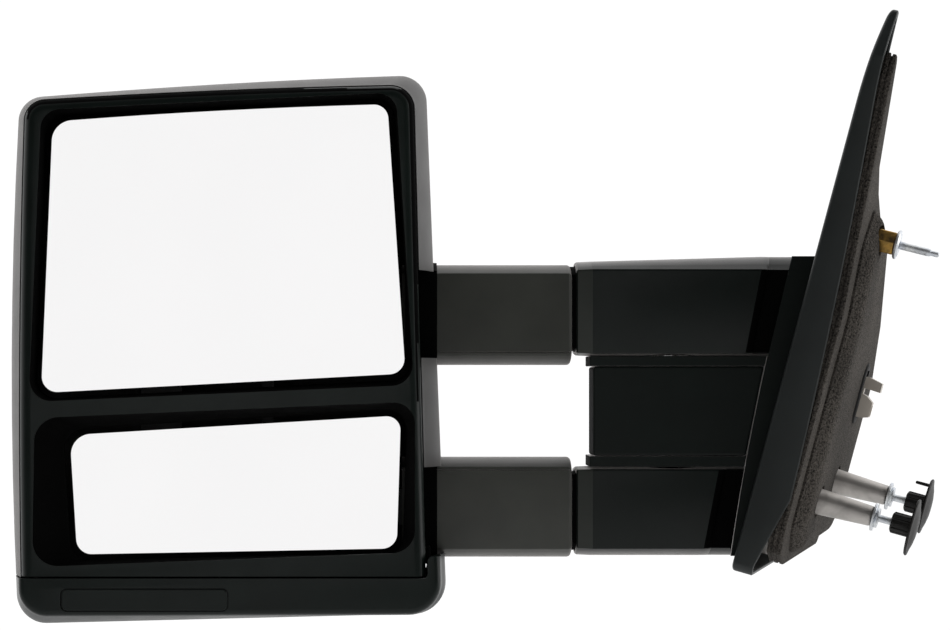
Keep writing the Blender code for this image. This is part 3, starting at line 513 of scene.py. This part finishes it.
def loft(rings):
    """A closed solid through rings of the same number of points, with a flat face at each end."""
    shape = bmesh.new()
    loops = [[shape.verts.new(point) for point in ring] for ring in rings]
    count = len(rings[0])
    for first, second in zip(loops, loops[1:]):
        for i in range(count):
            j = (i + 1) % count
            shape.faces.new((first[i], first[j], second[j], second[i]))
    shape.faces.new(list(reversed(loops[0])))
    shape.faces.new(loops[-1])
    return shape


def circle_point(axis, start, along, radius, angle):
    u, v = radius * math.cos(angle), radius * math.sin(angle)
    return Vector(start) + Vector({"X": (along, u, v), "Y": (v, along, u), "Z": (u, v, along)}[axis])


def turned(profile, start, axis, sides=48):
    """A solid of revolution from (distance along the axis, radius) pairs."""
    return loft([[circle_point(axis, start, along, radius, 2 * math.pi * k / sides) for k in range(sides)]
                 for along, radius in profile])


def tube(profile, start, axis, sides=48):
    """A solid of revolution whose profile is a closed loop, such as a washer."""
    shape = bmesh.new()
    loops = [[shape.verts.new(circle_point(axis, start, along, radius, 2 * math.pi * k / sides))
              for k in range(sides)] for along, radius in profile]
    for first, second in zip(loops, loops[1:] + loops[:1]):
        for i in range(sides):
            j = (i + 1) % sides
            shape.faces.new((first[i], first[j], second[j], second[i]))
    return shape


def hexagonal_prism(start, axis, length, radius):
    return turned([(0, radius), (length, radius)], start, axis, 6)


def inset_polygon(points, distance):
    area = sum(a[0] * b[1] - b[0] * a[1] for a, b in zip(points, points[1:] + points[:1]))
    side = 1 if area > 0 else -1
    moved = []
    count = len(points)
    for i in range(count):
        before, here, after = (Vector(points[k % count]) for k in (i - 1, i, i + 1))
        first = (here - before).normalized()
        second = (after - here).normalized()
        normals = [Vector((-edge.y, edge.x)) * side for edge in (first, second)]
        middle = (normals[0] + normals[1]).normalized()
        moved.append(tuple(here + middle * distance / middle.dot(normals[0])))
    return moved


def rounded(points, radii, steps=12):
    """Rounds the corners of an outline with arcs."""
    result = []
    count = len(points)
    for i in range(count):
        before, here, after = (Vector(points[k % count]) for k in (i - 1, i, i + 1))
        to_before = (before - here).normalized()
        to_after = (after - here).normalized()
        half = math.acos(max(-1, min(1, to_before.dot(to_after)))) / 2
        reach = radii[i] / math.tan(half)
        centre = here + (to_before + to_after).normalized() * radii[i] / math.sin(half)
        start = here + to_before * reach - centre
        end = here + to_after * reach - centre
        sweep = start.angle_signed(end)
        for step in range(steps + 1):
            turn = Matrix.Rotation(-sweep * step / steps, 2)
            result.append(tuple(centre + turn @ start))
    return result


def split_sides(outline, steps, parts=8):
    """Adds points to the four straight sides of a rounded outline, so that they can bow."""
    result = []
    count = len(outline)
    for i in range(count):
        a, b = outline[i], outline[(i + 1) % count]
        result.append(a)
        if i % (steps + 1) == steps:
            for k in range(1, parts):
                result.append((a[0] + (b[0] - a[0]) * k / parts, a[1] + (b[1] - a[1]) * k / parts))
    return result


def blend_corners(first, second, amount):
    return [(a[0] + (b[0] - a[0]) * amount, a[1] + (b[1] - a[1]) * amount) for a, b in zip(first, second)]


def plate(outline, low, high):
    return loft([[(x, low, z) for x, z in outline], [(x, high, z) for x, z in outline]])


# ---------------------------------------------------------------- head

def swell(x, z, left, top):
    """Bows the head's outboard side out by left and its top by top."""
    u = (z - HEAD_CENTRE[1]) / HEAD_HALF[1]
    v = (x - HEAD_CENTRE[0]) / HEAD_HALF[0]
    if v < 0:
        x -= left * max(0, 1 - u * u) * v * v
    if u > 0:
        z += top * max(0, 1 - v * v) * u * u
    return x, z


def head_ring(corners, inset, y, left=5.0, top=2.0, soften=0.0):
    """A cross-section of the head at depth y; soften is the share of the inset kept in its corner radii."""
    shrunk = inset_polygon(corners, inset) if inset else corners
    width = HEAD_HALF[0] * 2 - 2 * inset
    radii = [max(4, min(radius - inset + soften * inset, 0.42 * width)) for radius in HEAD_RADII]
    outline = split_sides(rounded(shrunk, radii, CORNER_STEPS), CORNER_STEPS)
    return [Vector((x, y, z)) for x, z in (swell(*point, left, top) for point in outline)]


def right_flare(first, second, amount, flare):
    """Corners part of the way between two outlines, with the door side at least as wide as flare gives."""
    near = blend_corners(first, second, amount)
    wide = blend_corners(first, second, max(amount, flare))
    return [b if b[0] > HEAD_MID_X else a for a, b in zip(near, wide)]


def head_rings(extra, taper=0.0, flare=0.0):
    """The head's outer surface from its front edge back to the middle of its domed rear."""
    rings = []
    for k in range(9):
        share = k / 8
        y = HEAD_SEAM_Y + (HEAD_WIDEST_Y - HEAD_SEAM_Y) * share
        amount = 0.6 * share + 0.4 * math.sin(math.pi / 2 * share)
        corners = right_flare(HEAD_FRONT, HEAD_WIDEST, amount, flare)
        rings.append(head_ring(corners, extra + taper * (1 - share), y, left=3 + 2 * amount))
    for k in range(1, 15):
        share = 0.93 * k / 14
        inset = 52 * (1 - (1 - share ** 2.5) ** 0.4)
        y = HEAD_WIDEST_Y + 72 * share
        rings.append(head_ring(HEAD_WIDEST, inset + extra, min(y, HEAD_BACK_Y - extra), soften=1.5))
    for inset, y in ((33, 41.8), (40, 43.6), (50, 45.0), (64, 46.1), (82, 46.8), (102, 47)):
        rings.append(head_ring(HEAD_WIDEST, inset + extra, y - extra, left=2, soften=1.5))
    return rings


def cap_outline(gap):
    """Everything above the stepped parting line of the lower cap, and a gap more."""
    low, high, step_x = CAP_SPLIT_Z - gap, CAP_STEP_Z - gap, CAP_STEP_X + gap
    return rounded([(-560, 220), (-200, 220), (-200, high), (step_x, high), (step_x, low), (-560, low)],
                   [1, 1, 1, 3, 3, 1], 5)


def housing_floor():
    """The part of the shell that the lower cap takes the place of."""
    step_x = CAP_STEP_X - 3
    corner = rounded([(-560, CAP_SPLIT_Z), (step_x, CAP_SPLIT_Z), (step_x, CAP_STEP_Z),
                      (-200, CAP_STEP_Z), (-200, -220), (-560, -220)], [1, 3, 3, 1, 1, 1], 5)
    return plate(corner, -90, 80)


def add_housing():
    outer = head_rings(0, taper=RIM_TAPER)
    rim_out = head_ring(HEAD_FRONT, RIM_TAPER + 0.1, HEAD_SEAM_Y - 0.3, left=3)
    rim_in = head_ring(HEAD_FRONT, HEAD_WALL - 0.1, HEAD_SEAM_Y - 0.3, left=3)
    inner = head_rings(HEAD_WALL)
    shell = piece("rear_shell", loft(outer[::-1] + [rim_out, rim_in] + inner), "housing",
                  "head", "rear_housing", angle=40)
    join_shape(shell, housing_floor())
    for side, mid in SLEEVE_MID_Z.items():
        join_shape(shell, arm_hole(side, 1.7, -290, -200))
        notch = rounded([(NOTCH_X, mid - 27), (NOTCH_X, mid + 26), (-200, mid + 26),
                         (-200, mid - 27)], [4, 4, 1, 1], 6)
        join_shape(shell, plate(notch, -90, -15))


def add_cap():
    flared = right_flare(HEAD_FRONT, HEAD_WIDEST, 0.0, CAP_FLARE)
    front = [head_ring(flared, inset, y, left=3)
             for inset, y in ((4.4, -60), (3.0, -59.8), (2.0, -59.3), (1.2, -58.4), (0.6, -57))]
    outer = front + head_rings(0, flare=CAP_FLARE)
    cap = piece("cap_shell", loft(outer), "bezel", "head", "lower_cap", angle=40)
    join_shape(cap, plate(cap_outline(0.6), -90, 80))
    hollow = loft([head_ring(HEAD_FRONT, HEAD_WALL + 4, -56.5, left=3)] + head_rings(HEAD_WALL))
    join_shape(cap, hollow)
    join_shape(cap, arm_hole("lower", 0.5, -290, -200))
    low, high = (-479, -157.2), (-378, -143)
    corners = [(low[0], high[1]), (high[0], high[1]), (high[0], low[1]), (low[0], low[1])]
    join_shape(cap, plate(rounded(corners, [4] * 4, 8), -63, -57.4))
    add_rounding(cap, 0.5, 2, 50)
    panel = rounded(inset_polygon(corners, 0.7), [3.4] * 4, 8)
    piece("cap_badge_panel", plate(panel, -60.2, -57.5), "bezel", "head", "cap_panel",
          rounding=0.6)


def add_bezel():
    inset = HEAD_WALL + 0.4
    stages = ((-60, 6.5), (-59.7, 4.4), (-59, 2.8), (-58, 1.5), (-56.8, 0.6), (-55.4, 0), (-42, 0))
    rings = [head_ring(HEAD_FRONT, inset + extra, y, left=3) for y, extra in stages]
    bezel = piece("face_bezel", loft(rings), "bezel", "head", "front_bezel", angle=40)
    join_shape(bezel, box((-560, -90, -200), (-200, 80, CAP_SPLIT_Z + 0.6)))
    upper = split_sides(rounded(UPPER_OPENING, (12, 12, 13, 13), CORNER_STEPS), CORNER_STEPS)
    lower = rounded(LOWER_OPENING, (15, 13, 14, 15), CORNER_STEPS)
    back_radii = (12, 12, 12, 12)
    upper_back = rounded(inset_polygon(UPPER_GLASS, -3), back_radii, CORNER_STEPS)
    upper_back = split_sides(upper_back, CORNER_STEPS)
    lower_back = rounded(inset_polygon(LOWER_GLASS, -3), back_radii, CORNER_STEPS)
    for front, back in ((upper, upper_back), (lower, lower_back)):
        opening = loft([[(x, -70, z) for x, z in front], [(x, -59, z) for x, z in front],
                        [(x, -44, z) for x, z in back], [(x, -35, z) for x, z in back]])
        join_shape(bezel, opening)
    # Painted shade on the walls of the glass openings
    paint_opening_shade(bezel)
    add_rounding(bezel, 0.9, 3, 50)
    # A block in painted shade behind the corner where the bezel, the cap's step and the arm's hole meet,
    # which stops light showing through the gap there
    plug = box((-265, -50, -129), (-256.8, -24, -119))
    piece("corner_plug", plug, "painted_shade", "head", rounding=1.0)


def paint_opening_shade(bezel):
    """Gives the walls of the glass openings, and everything behind the face, a near-black painted shade with
    almost no gloss.
    """
    bezel.data.materials.append(MATERIALS["painted_shade"])
    left, right = ORIGIN.x - 499 * MM, ORIGIN.x - 264.5 * MM
    top, face_y = ORIGIN.z + 157 * MM, ORIGIN.y - 59.2 * MM
    for face in bezel.data.polygons:
        inside = left < face.center.x < right and face.center.z < top
        if inside and face.center.y > face_y and face.normal.y > -FACING:
            face.material_index = 1


def glass_form(outline, front_y):
    """A 2 mm glass with a small ground bevel round its face."""
    inner = inset_polygon(outline, 0.7)
    stages = ((inner, front_y), (outline, front_y + 0.7), (outline, front_y + 2))
    return loft([[(x, y, z) for x, z in ring] for ring, y in stages])


def add_glasses():
    for side, corners, front_y, bow in (("upper", UPPER_GLASS, UPPER_GLASS_Y, 1.4),
                                        ("lower", LOWER_GLASS, LOWER_GLASS_Y, 0.0)):
        outline = split_sides(rounded(corners, GLASS_RADII, CORNER_STEPS), CORNER_STEPS)
        middle = (corners[0][0] + corners[1][0]) / 2
        half = (corners[1][0] - corners[0][0]) / 2
        level = (corners[0][1] + corners[2][1]) / 2
        bowed = [(x, z + bow * max(0, 1 - ((x - middle) / half) ** 2) if z > level else z)
                 for x, z in outline]
        piece(side + "_mirror", glass_form(bowed, front_y), "mirror", side + "_pan",
              side + "_glass", angle=25)


# ---------------------------------------------------------------- arms

def arm_section(x_of_z, low, high, shoulder, flat, inset=0.0, narrow=0.0, groove=None):
    """A cross-section of an arm: flat front and rear faces, rounded edges, and a crowned top and bottom.

    The crowns fall to the two heights in shoulder, or by 1.5 mm on the side that flat names.
    """
    depth = ARM_HALF_DEPTH - inset - narrow
    top, bottom = high - inset, low + inset
    top_side = high - 1.5 - inset if flat == "top" else shoulder[1] - inset
    low_side = low + 1.5 + inset if flat == "bottom" else shoulder[0] + inset
    half = []
    for crown, side_z in ((top, top_side), (bottom, low_side)):
        rise = crown - side_z
        step = 0.35 if rise > 0 else -0.35
        arch = [(depth, side_z - 1.5 * step), (depth - 0.2, side_z - 0.4 * step),
                (depth - 0.8, side_z + 0.6 * step)]
        for k in range(1, 10):
            share = 0.07 + 0.93 * k / 10
            arch.append((depth * (1 - share), side_z + rise * (1 - (1 - share) ** 2)))
        half.append(arch)
    top_arch, low_arch = half
    points = groove_points(-depth, low_side, top_side, groove)
    points += [(-y, z) for y, z in top_arch] + [(0, top)]
    points += [(y, z) for y, z in reversed(top_arch)] + [(y, z) for y, z in low_arch]
    points += [(0, bottom)] + [(-y, z) for y, z in reversed(low_arch)]
    return [(x_of_z(z), y, z) for y, z in points]


def groove_points(face_y, low_z, high_z, groove):
    """A fine part line along an arm's rear face, or points for none."""
    level = low_z + 1.4 if groove == "low" else high_z - 2.2
    deep = 0.9 if groove else 0
    return [(face_y, level), (face_y + deep, level + 0.15),
            (face_y + deep, level + 0.65), (face_y, level + 0.8)]


def at(x):
    """An end plane that is square to the arm; the ends near the pedestal lean with it."""
    return lambda z: x


def arm_hole(side, grow, low_x, high_x):
    """A sleeve's section, larger by grow, for cutting its way through the head."""
    mid = SLEEVE_MID_Z[side]
    shoulder = (mid - 25.2 - grow, mid + 25.2 + grow)
    return loft([arm_section(at(x), mid - 31 - grow, mid + 31 + grow, shoulder, None, narrow=-grow)
                 for x in (low_x, high_x)])


def add_sleeve(side):
    mid = SLEEVE_MID_Z[side]
    groove = "low" if side == "upper" else "high"
    size = (mid - 31, mid + 31, (mid - 25.2, mid + 25.2), None)
    stages = ((SLEEVE_END_X, 2.0, None), (SLEEVE_END_X - 0.4, 1.0, groove),
              (SLEEVE_END_X - 1.2, 0.3, groove), (SLEEVE_END_X - 2.2, 0, groove), (SLEEVE_INNER_X, 0, groove),
              (SLEEVE_INNER_X, ARM_WALL, None), (SLEEVE_END_X - 4, ARM_WALL, None))
    rings = [arm_section(at(x), *size, inset=inset, groove=line) for x, inset, line in stages]
    sleeve = piece(side + "_sleeve", loft(rings), "sleeve", "arms", side + "_arm_sleeve")
    join_shape(sleeve, box((SLEEVE_END_X - 20, -6.3, mid - 12.3), (SLEEVE_END_X + 20, 6.3, mid + 12.3)))


# Each cover's low and high, the crest's rise, its shoulders, its flat side, and its leaning end
ARM_COVERS = {
    "upper": (-3.2, 55.5, 3.0, (-1, 50.1), "bottom", lambda z: -58.1 + 0.1937 * z),
    "lower": (-126.6, -71.3, 0.0, (-121.7, -73), "top", lambda z: -60.5 + 0.1937 * z),
}


def arm_tongue(end, section):
    """A nose with the arm's own section that closes the view between its end and the pedestal's hollow."""
    nose = []
    for _, y, z in section(at(0)):
        radius = pedestal_left(z) - FOLD_X + SOCKET_DEPTH
        nose.append((FOLD_X + math.sqrt(radius * radius - y * y), y, z))
    return loft([section(lambda z: end(z) - 6), nose])


def add_cover(side):
    """An arm's fixed cover, with painted light on a band at its start, painted shade on its nose, and two
    inserts in the painted shade black.
    """
    low, high, rise, shoulder, flat, end = ARM_COVERS[side]
    crest = high + rise
    stages = ((end, 0.1, 4.0, crest), (lambda z: end(z) - 1.5, 0.05, 1.8, crest),
              (lambda z: end(z) - 5, 0, 0, crest), (at(ARM_START_X + 10), 0, 0, high),
              (at(ARM_START_X + 9.4), 0, 0.15, high), (at(ARM_START_X + 1), 0.4, 1.0, high),
              (at(ARM_START_X), 1.2, 1.3, high),
              (at(ARM_START_X), ARM_WALL, 0, high), (at(ARM_START_X + 10), ARM_WALL, 0, high),
              (lambda z: end(z) - 5, ARM_WALL, 0, crest), (lambda z: end(z) - 3, ARM_WALL + 1, 3.0, crest))
    rings = [arm_section(x, low, top, shoulder, flat, inset=inset, narrow=narrow)
             for x, inset, narrow, top in stages]
    cover = piece(side + "_cover", loft(rings), "arm", "arms", side + "_arm_cover", angle=28)

    def section(x_of_z):
        return arm_section(x_of_z, low, crest, shoulder, flat, inset=TONGUE_INSET, narrow=TONGUE_NARROW)

    join_shape(cover, arm_tongue(end, section), "UNION", angle=28)
    start = (FOLD_X, 0, (low + high) / 2 - (40 if side == "upper" else 0))
    bore = [(0, COVER_BORE_RADIUS), (40, COVER_BORE_RADIUS)]
    join_shape(cover, turned(bore, start, "Z"), angle=28)
    cover.data.materials.append(MATERIALS["painted_light_band"])
    cover.data.materials.append(MATERIALS["painted_shade"])
    # Front faces near the arm's start get painted light; side faces at the leaning end get painted shade
    for face in cover.data.polygons:
        x, z = (face.center.x - ORIGIN.x) / MM, (face.center.z - ORIGIN.z) / MM
        if face.normal.y < -SIDEWAYS and x < ARM_START_X + LIT_BAND_LENGTH:
            face.material_index = 1
        elif abs(face.normal.z) < 0.3 and x > end(z) - SHADE_END_LENGTH:
            face.material_index = 2
    # The spigot in the gap and the pivot seal are painted shade black
    spigot = loft([arm_section(at(x), low, high, shoulder, flat, inset=3.2)
                   for x in (SLEEVE_END_X - 3, ARM_START_X + 8)])
    piece(side + "_spigot", spigot, "painted_shade", "arms")
    seal = [(0, 17.6), (0.8, 18.4), (2.2, 18.4), (3, 17.6)]
    seal_z = low if side == "upper" else high - 3
    piece(side + "_pivot_seal", turned(seal, (FOLD_X, 0, seal_z), "Z"), "painted_shade", "arms")


# ---------------------------------------------------------------- pivot block and pedestal

def pedestal_left(z):
    """X of the pedestal's outboard edge at height z."""
    return -49.0 + 0.2285 * z + 0.00035 * min(0, z) * z


def sail_face_x(y, z):
    """X in the design frame of the sail's outer face."""
    normal = SEAT_TURN @ Vector((1, 0, 0))
    return (SAIL_FACE_X - 0.3 - normal.y * y - normal.z * z) / normal.x


def add_pedestal():
    rings = []
    low_y, high_y = -21, 30
    for k in range(25):
        z = -126 + 184 * k / 24
        left = pedestal_left(z)
        rings.append([(left, low_y, z), (left, high_y, z), (sail_face_x(high_y, z), high_y, z),
                      (sail_face_x(low_y, z), low_y, z)])
    pedestal = piece("pedestal", loft(rings), "arm", "base", "pedestal_cover")
    for low_z, high_z in ((-128, -71.5), (-3.4, 60)):
        profile = [(z, pedestal_left(z) - FOLD_X + SOCKET_DEPTH + SOCKET_GAP)
                   for z in (low_z + (high_z - low_z) * step / 12 for step in range(13))]
        join_shape(pedestal, turned(profile, (FOLD_X, 0, 0), "Z", 160))
    add_rounding(pedestal, 0.8, 3, 40)


def add_pivot_block():
    """The block between the arms and its two plates, with painted shade on their outboard ends."""
    pieces = {"pivot_block": (-156.7, 20, -64.6, -9.5, 1.6),
              "pivot_plate_upper": (-158.7, 20.6, -9.45, -3.25, 0.4),
              "pivot_plate_lower": (-158.7, 20.6, -71.25, -64.65, 0.4)}
    for name, (left, half, low, high, rounding) in pieces.items():
        rings = []
        for z in (low, high):
            right = pedestal_left(z) - 0.3
            rings.append([(left, -half, z), (left, half, z), (right, half, z), (right, -half, z)])
        item = piece(name + "_body", loft(rings), "arm", "base", name, rounding=rounding)
        bore = [(0, BLOCK_BORE_RADIUS), (high - low + 10, BLOCK_BORE_RADIUS)]
        join_shape(item, turned(bore, (FOLD_X, 0, low - 5), "Z"))
        item.data.materials.append(MATERIALS["painted_shade"])
        # Faces turned outboard get the painted shade black
        for face in item.data.polygons:
            if face.normal.x < -SIDEWAYS:
                face.material_index = 1


# ---------------------------------------------------------------- sail base

def cover_width(z):
    """Width of the sail cover's side wall, which narrows towards the tip and at the bottom."""
    width = 21 - 0.048 * z - 0.00013 * z * z
    drop = min(1, max(0, (WALL_DROP_Z - z) / 14))
    return width - 12 * drop * drop * (3 - 2 * drop)


def sail_ring(outline, offset_x):
    """An outline's points in the seat frame, at the x that offset_x gives for each height."""
    return [(offset_x(z), y, z) for y, z in outline]


def split_level(shape, z):
    geometry = shape.verts[:] + shape.edges[:] + shape.faces[:]
    bmesh.ops.bisect_plane(shape, geom=geometry, plane_co=(0, 0, z), plane_no=(0, 0, 1))


def curl_tip(shape):
    """Bends the sail's tip towards the door."""
    for k in range(9):
        split_level(shape, CURL_START_Z + 7 * k)
    for vertex in shape.verts:
        rise = max(0, (vertex.co.z - CURL_START_Z) / 64)
        vertex.co.x += 6 * rise * rise


def soft_outline(outline, radius, steps=5):
    """Rounds an outline's corners by at most radius, and less where its sides are short."""
    radii = []
    count = len(outline)
    for i in range(count):
        before, here, after = (Vector(outline[k % count]) for k in (i - 1, i, i + 1))
        shortest = min((here - before).length, (after - here).length)
        half = ((before - here).angle(after - here)) / 2
        radii.append(min(radius, 0.45 * shortest * math.tan(half)))
    return rounded(outline, radii, steps)


def soft_ring(outline, inset, radius, parts=14):
    """An outline moved inwards, with rounded corners and evenly split sides."""
    steps = 6
    corners = soft_outline(inset_polygon(outline, inset) if inset else outline, radius, steps)
    return split_sides(corners, steps, parts)


def add_sail():
    """The triangular cover over the base, open towards the door."""
    edge = ((3, 0), (1.8, 0.15), (0.9, 0.6), (0.3, 1.2), (0, 2.2))
    rings = [sail_ring(soft_ring(SAIL_OUTLINE, inset, 6 - inset), at(SAIL_FACE_X + x))
             for inset, x in edge]
    for inset, back in ((0, 0.6), (0.5, 0), (2.0, 0), (2.5, 0.6)):
        ring = soft_ring(SAIL_OUTLINE, inset, 6 - inset)
        rings.append(sail_ring(ring, lambda z, back=back: SAIL_FACE_X + cover_width(z) - back))
    rings.append(sail_ring(soft_ring(SAIL_OUTLINE, 3, 3), at(SAIL_FACE_X + 2.6)))
    shape = loft(rings)
    curl_tip(shape)
    piece("sail", shape, "sail", "base", "sail_cover", seat=True, angle=30)


def gasket_face_x(z):
    """How far the gasket's face falls back from the door above its flat part."""
    return -10 * max(0, z - FALL_START_Z) / 160


def fall_back(shape, in_front_of):
    split_level(shape, FALL_START_Z)
    for vertex in shape.verts:
        if vertex.co.x > in_front_of:
            vertex.co.x += gasket_face_x(vertex.co.z)
    return shape


def add_gasket():
    """The foam seal: a pad with moulded ribs round its edge, and a raised middle on it."""
    ribs = ((0, -GASKET_THICKNESS), (0, -7.6), (0.9, -7.2), (0.9, -6.4), (0, -6.0), (0, -4.2), (0.8, -3.9),
            (0.8, -3.1), (0.1, -2.7), (0.1, -1.0), (0.5, -0.3), (1.4, 0))
    pad = loft([sail_ring(soft_ring(GASKET_OUTLINE, 0.4 + inset, 4), at(x)) for inset, x in ribs])
    swelling = ((0, -0.4), (0, 1.5), (0.8, 2.4), (1.6, 3.2), (2.6, 4.6), (4, 6.2), (5.6, 7.4), (8, 8.4),
                (11, BULGE_HEIGHT))
    middle = loft([sail_ring(soft_ring(BULGE_OUTLINE, inset, 9), at(x)) for inset, x in swelling])
    holes = [(place, BOSS_HOLE_RADIUS) for place in LOWER_BOSS_PLACES.values()]
    holes.append((STUD_PLACE, STUD_HOLE_RADIUS))
    for name, shape in (("foam_seal", pad), ("foam_seal_middle", middle)):
        foam = piece(name, fall_back(shape, -20), "foam", "base", "base_gasket", seat=True)
        for (y, z), radius in holes:
            join_shape(foam, turned([(0, radius), (40, radius)], (-20, y, z), "X"), seat=True)
        y, z = GROMMET_PLACE
        join_shape(foam, oval((-20, y, z), 40, 11, 20.5), seat=True)


def oval(start, length, half_width, half_height, steps=14, ease=0.0):
    """A slot-shaped solid along x of the seat frame, with its far edge eased."""
    rings = []
    for x, inset in ((0, 0), (length - ease, 0), (length - 0.3 * ease, 0.3 * ease), (length, ease)):
        width, height = half_width - inset, half_height - inset
        ring = []
        for side in (1, -1):
            for step in range(steps + 1):
                angle = math.pi * step / steps
                ring.append((start[0] + x, start[1] + side * width * math.cos(angle),
                             start[2] + side * (width * math.sin(angle) + height - width)))
        rings.append(ring)
    return loft(rings if ease else [rings[0], rings[-1]])


def thread(start, length, radius, pitch, depth):
    """The profile of a threaded shank with an eased tip."""
    profile = [(start, radius - depth)]
    x = start
    while x + pitch <= start + length:
        profile += [(x + 0.35 * pitch, radius), (x + 0.6 * pitch, radius), (x + 0.95 * pitch, radius - depth)]
        x += pitch
    return profile


def add_upper_stud():
    y, z = STUD_PLACE
    face = gasket_face_x(z)
    block = hexagonal_prism((-12, y, z), "X", 29 + face, 8)
    piece("stud_hex", block, "yellow", "base", "upper_stud_block", seat=True, rounding=0.7)
    x = face + 17.3
    flange = turned([(0, 8.2), (0.5, 9.0), (1.6, 9.2), (2.0, 8.9), (2.1, 7.4), (2.6, 6.8), (2.6, 5.0)],
                    (x, y, z), "X", 64)
    piece("stud_flange", flange, "zinc", "base", "upper_stud_flange", seat=True)
    pilot = [(18.9, 2.3), (19.4, 1.9), (19.9, 1.7), (23.2, 1.7), (23.9, 1.6), (24.5, 1.1)]
    shank = turned([(0, 2.3)] + thread(0.6, 17.6, 2.55, 0.8, 0.1) + pilot, (x + 2.9, y, z), "X", 40)
    piece("stud_shank", shank, "zinc", "base", "upper_stud", seat=True)


def add_lower_mount(end):
    """A cast boss in its rubber ring, with its washer, bolt and push-on cap."""
    y, z = LOWER_BOSS_PLACES[end]
    profile = [(-8.9, 9), (6, 8.6), (9.2, 8.1), (12, 8.0), (BOSS_END_X - 1.2, 6.35), (BOSS_END_X - 0.3, 6.0),
               (BOSS_END_X, 5.6)]
    boss = piece("boss_" + end, turned(profile, (0, y, z), "X", 56), "cast", "base",
                 "lower_boss_" + end, seat=True, rounding=0.3, segments=2)
    join_shape(boss, turned([(0, 3.1), (30, 3.1)], (BOSS_END_X - 18, y, z), "X", 24), seat=True)
    seal = [(-1.2, 8.95), (-1.2, 11.4), (1.2, 11.4), (1.9, 10.8), (1.9, 9.0)]
    piece("boss_seal_" + end, tube(seal, (0, y, z), "X", 56), "rubber", "base", seat=True)
    washer = [(0, 3.1), (0, 8.6), (0.3, 8.9), (1.5, 8.9), (1.8, 8.6), (1.8, 6.4), (2.1, 6.0), (2.5, 6.4),
              (3.4, 6.4), (3.7, 6.1), (3.7, 3.1)]
    piece("washer_" + end, tube(washer, (BOSS_END_X + 0.3, y, z), "X", 56), "zinc", "base",
          "lower_washer_" + end, seat=True)
    shank = [(BOSS_END_X - 16, 2.1)] + thread(BOSS_END_X - 15, 33, 2.4, 0.8, 0.14) + [(BOSS_END_X + 19, 1.8)]
    piece("bolt_" + end, turned(shank, (0, y, z), "X", 36), "zinc", "base",
          "lower_bolt_" + end, seat=True)
    add_bolt_cap(end, BOSS_END_X + 12, y, z)


def add_bolt_cap(end, stem, y, z):
    """A push-on cap: a ribbed stem and a thin dished flange with a domed middle."""
    rings = []
    profile = [(0, 5.0, 0), (0.5, 6.0, 0), (1.2, 6.3, 0.5), (11.6, 6.3, 0.5), (12.0, 6.6, 0), (12.2, 12, 0),
               (12.5, 17.2, 0), (13.0, 17.8, 0), (13.6, 18, 0), (14.2, 17.6, 0), (14.8, 14.5, 0),
               (15.8, 11, 0), (16.5, 7, 0), (16.8, 3, 0)]
    sides = 96
    for along, radius, rib in profile:
        ring = []
        for k in range(sides):
            height = rib if k % 8 in (0, 1, 2) else 0
            ring.append(circle_point("X", (stem, y, z), along, radius + height, 2 * math.pi * k / sides))
        rings.append(ring)
    cap = piece("push_cap_" + end, loft(rings), "cap", "base", "bolt_cap_" + end,
                seat=True)
    join_shape(cap, turned([(0, 2.9), (11, 2.9)], (stem - 2, y, z), "X", 24), seat=True)
    if end == "front":
        pin = turned([(0, 0.7), (0.6, 1.0), (9.5, 1.1)], (stem + 3.5, y - 2, z + 13.5), "X", 16)
        join_shape(cap, pin, "UNION", seat=True)


def add_harness_port():
    """The oval rubber grommet and the two-fingered connector in it."""
    y, z = GROMMET_PLACE
    face = BULGE_HEIGHT
    grommet = piece("port_grommet", oval((-8, y, z), face + 9.5, 10.5, 20, ease=1.2), "rubber",
                    "base", "harness_grommet", seat=True)
    join_shape(grommet, box((face - 6, y - 5.5, z - 15.5), (face + 20, y + 5.5, z + 15.5)), seat=True)
    body = loft([[(x, y - half, low), (x, y + half, low), (x, y + half, high), (x, y - half, high)]
                 for x, half, low, high in ((face - 5, 5, z - 15, z + 1.5), (face + 5, 5, z - 15, z - 0.5),
                                            (face + 9.5, 4.2, z - 13.5, z - 4))])
    connector = piece("port_connector", body, "connector", "base", "harness_connector",
                      seat=True)
    finger = loft([[(x, y - half, low), (x, y + half, low), (x, y + half, high), (x, y - half, high)]
                   for x, half, low, high in ((face - 4, 3.2, z + 5, z + 11), (face + 4, 4, z + 4, z + 11.5),
                                              (face + 12.5, 4, z + 3.5, z + 9.5))])
    join_shape(connector, finger, "UNION", seat=True)
    join_shape(connector, box((face - 3, y - 3, z - 1), (face + 2, y + 3, z + 6)), "UNION", seat=True)
    join_shape(connector, box((face + 4, y - 3, z - 12.5), (face + 14, y + 3, z - 6)), seat=True)
    add_rounding(connector, 0.5, 2)


# ---------------------------------------------------------------- build

MATERIALS = make_materials()
finish_cad_nodes()
make_camera()
make_world()
make_lights()
make_stage()
add_housing()
add_cap()
add_bezel()
add_glasses()
for arm_side in SLEEVE_MID_Z:
    add_sleeve(arm_side)
    add_cover(arm_side)
add_pivot_block()
add_pedestal()
add_sail()
add_gasket()
add_upper_stud()
for boss_end in LOWER_BOSS_PLACES:
    add_lower_mount(boss_end)
add_harness_port()

bpy.context.scene.view_settings.view_transform = "Standard"
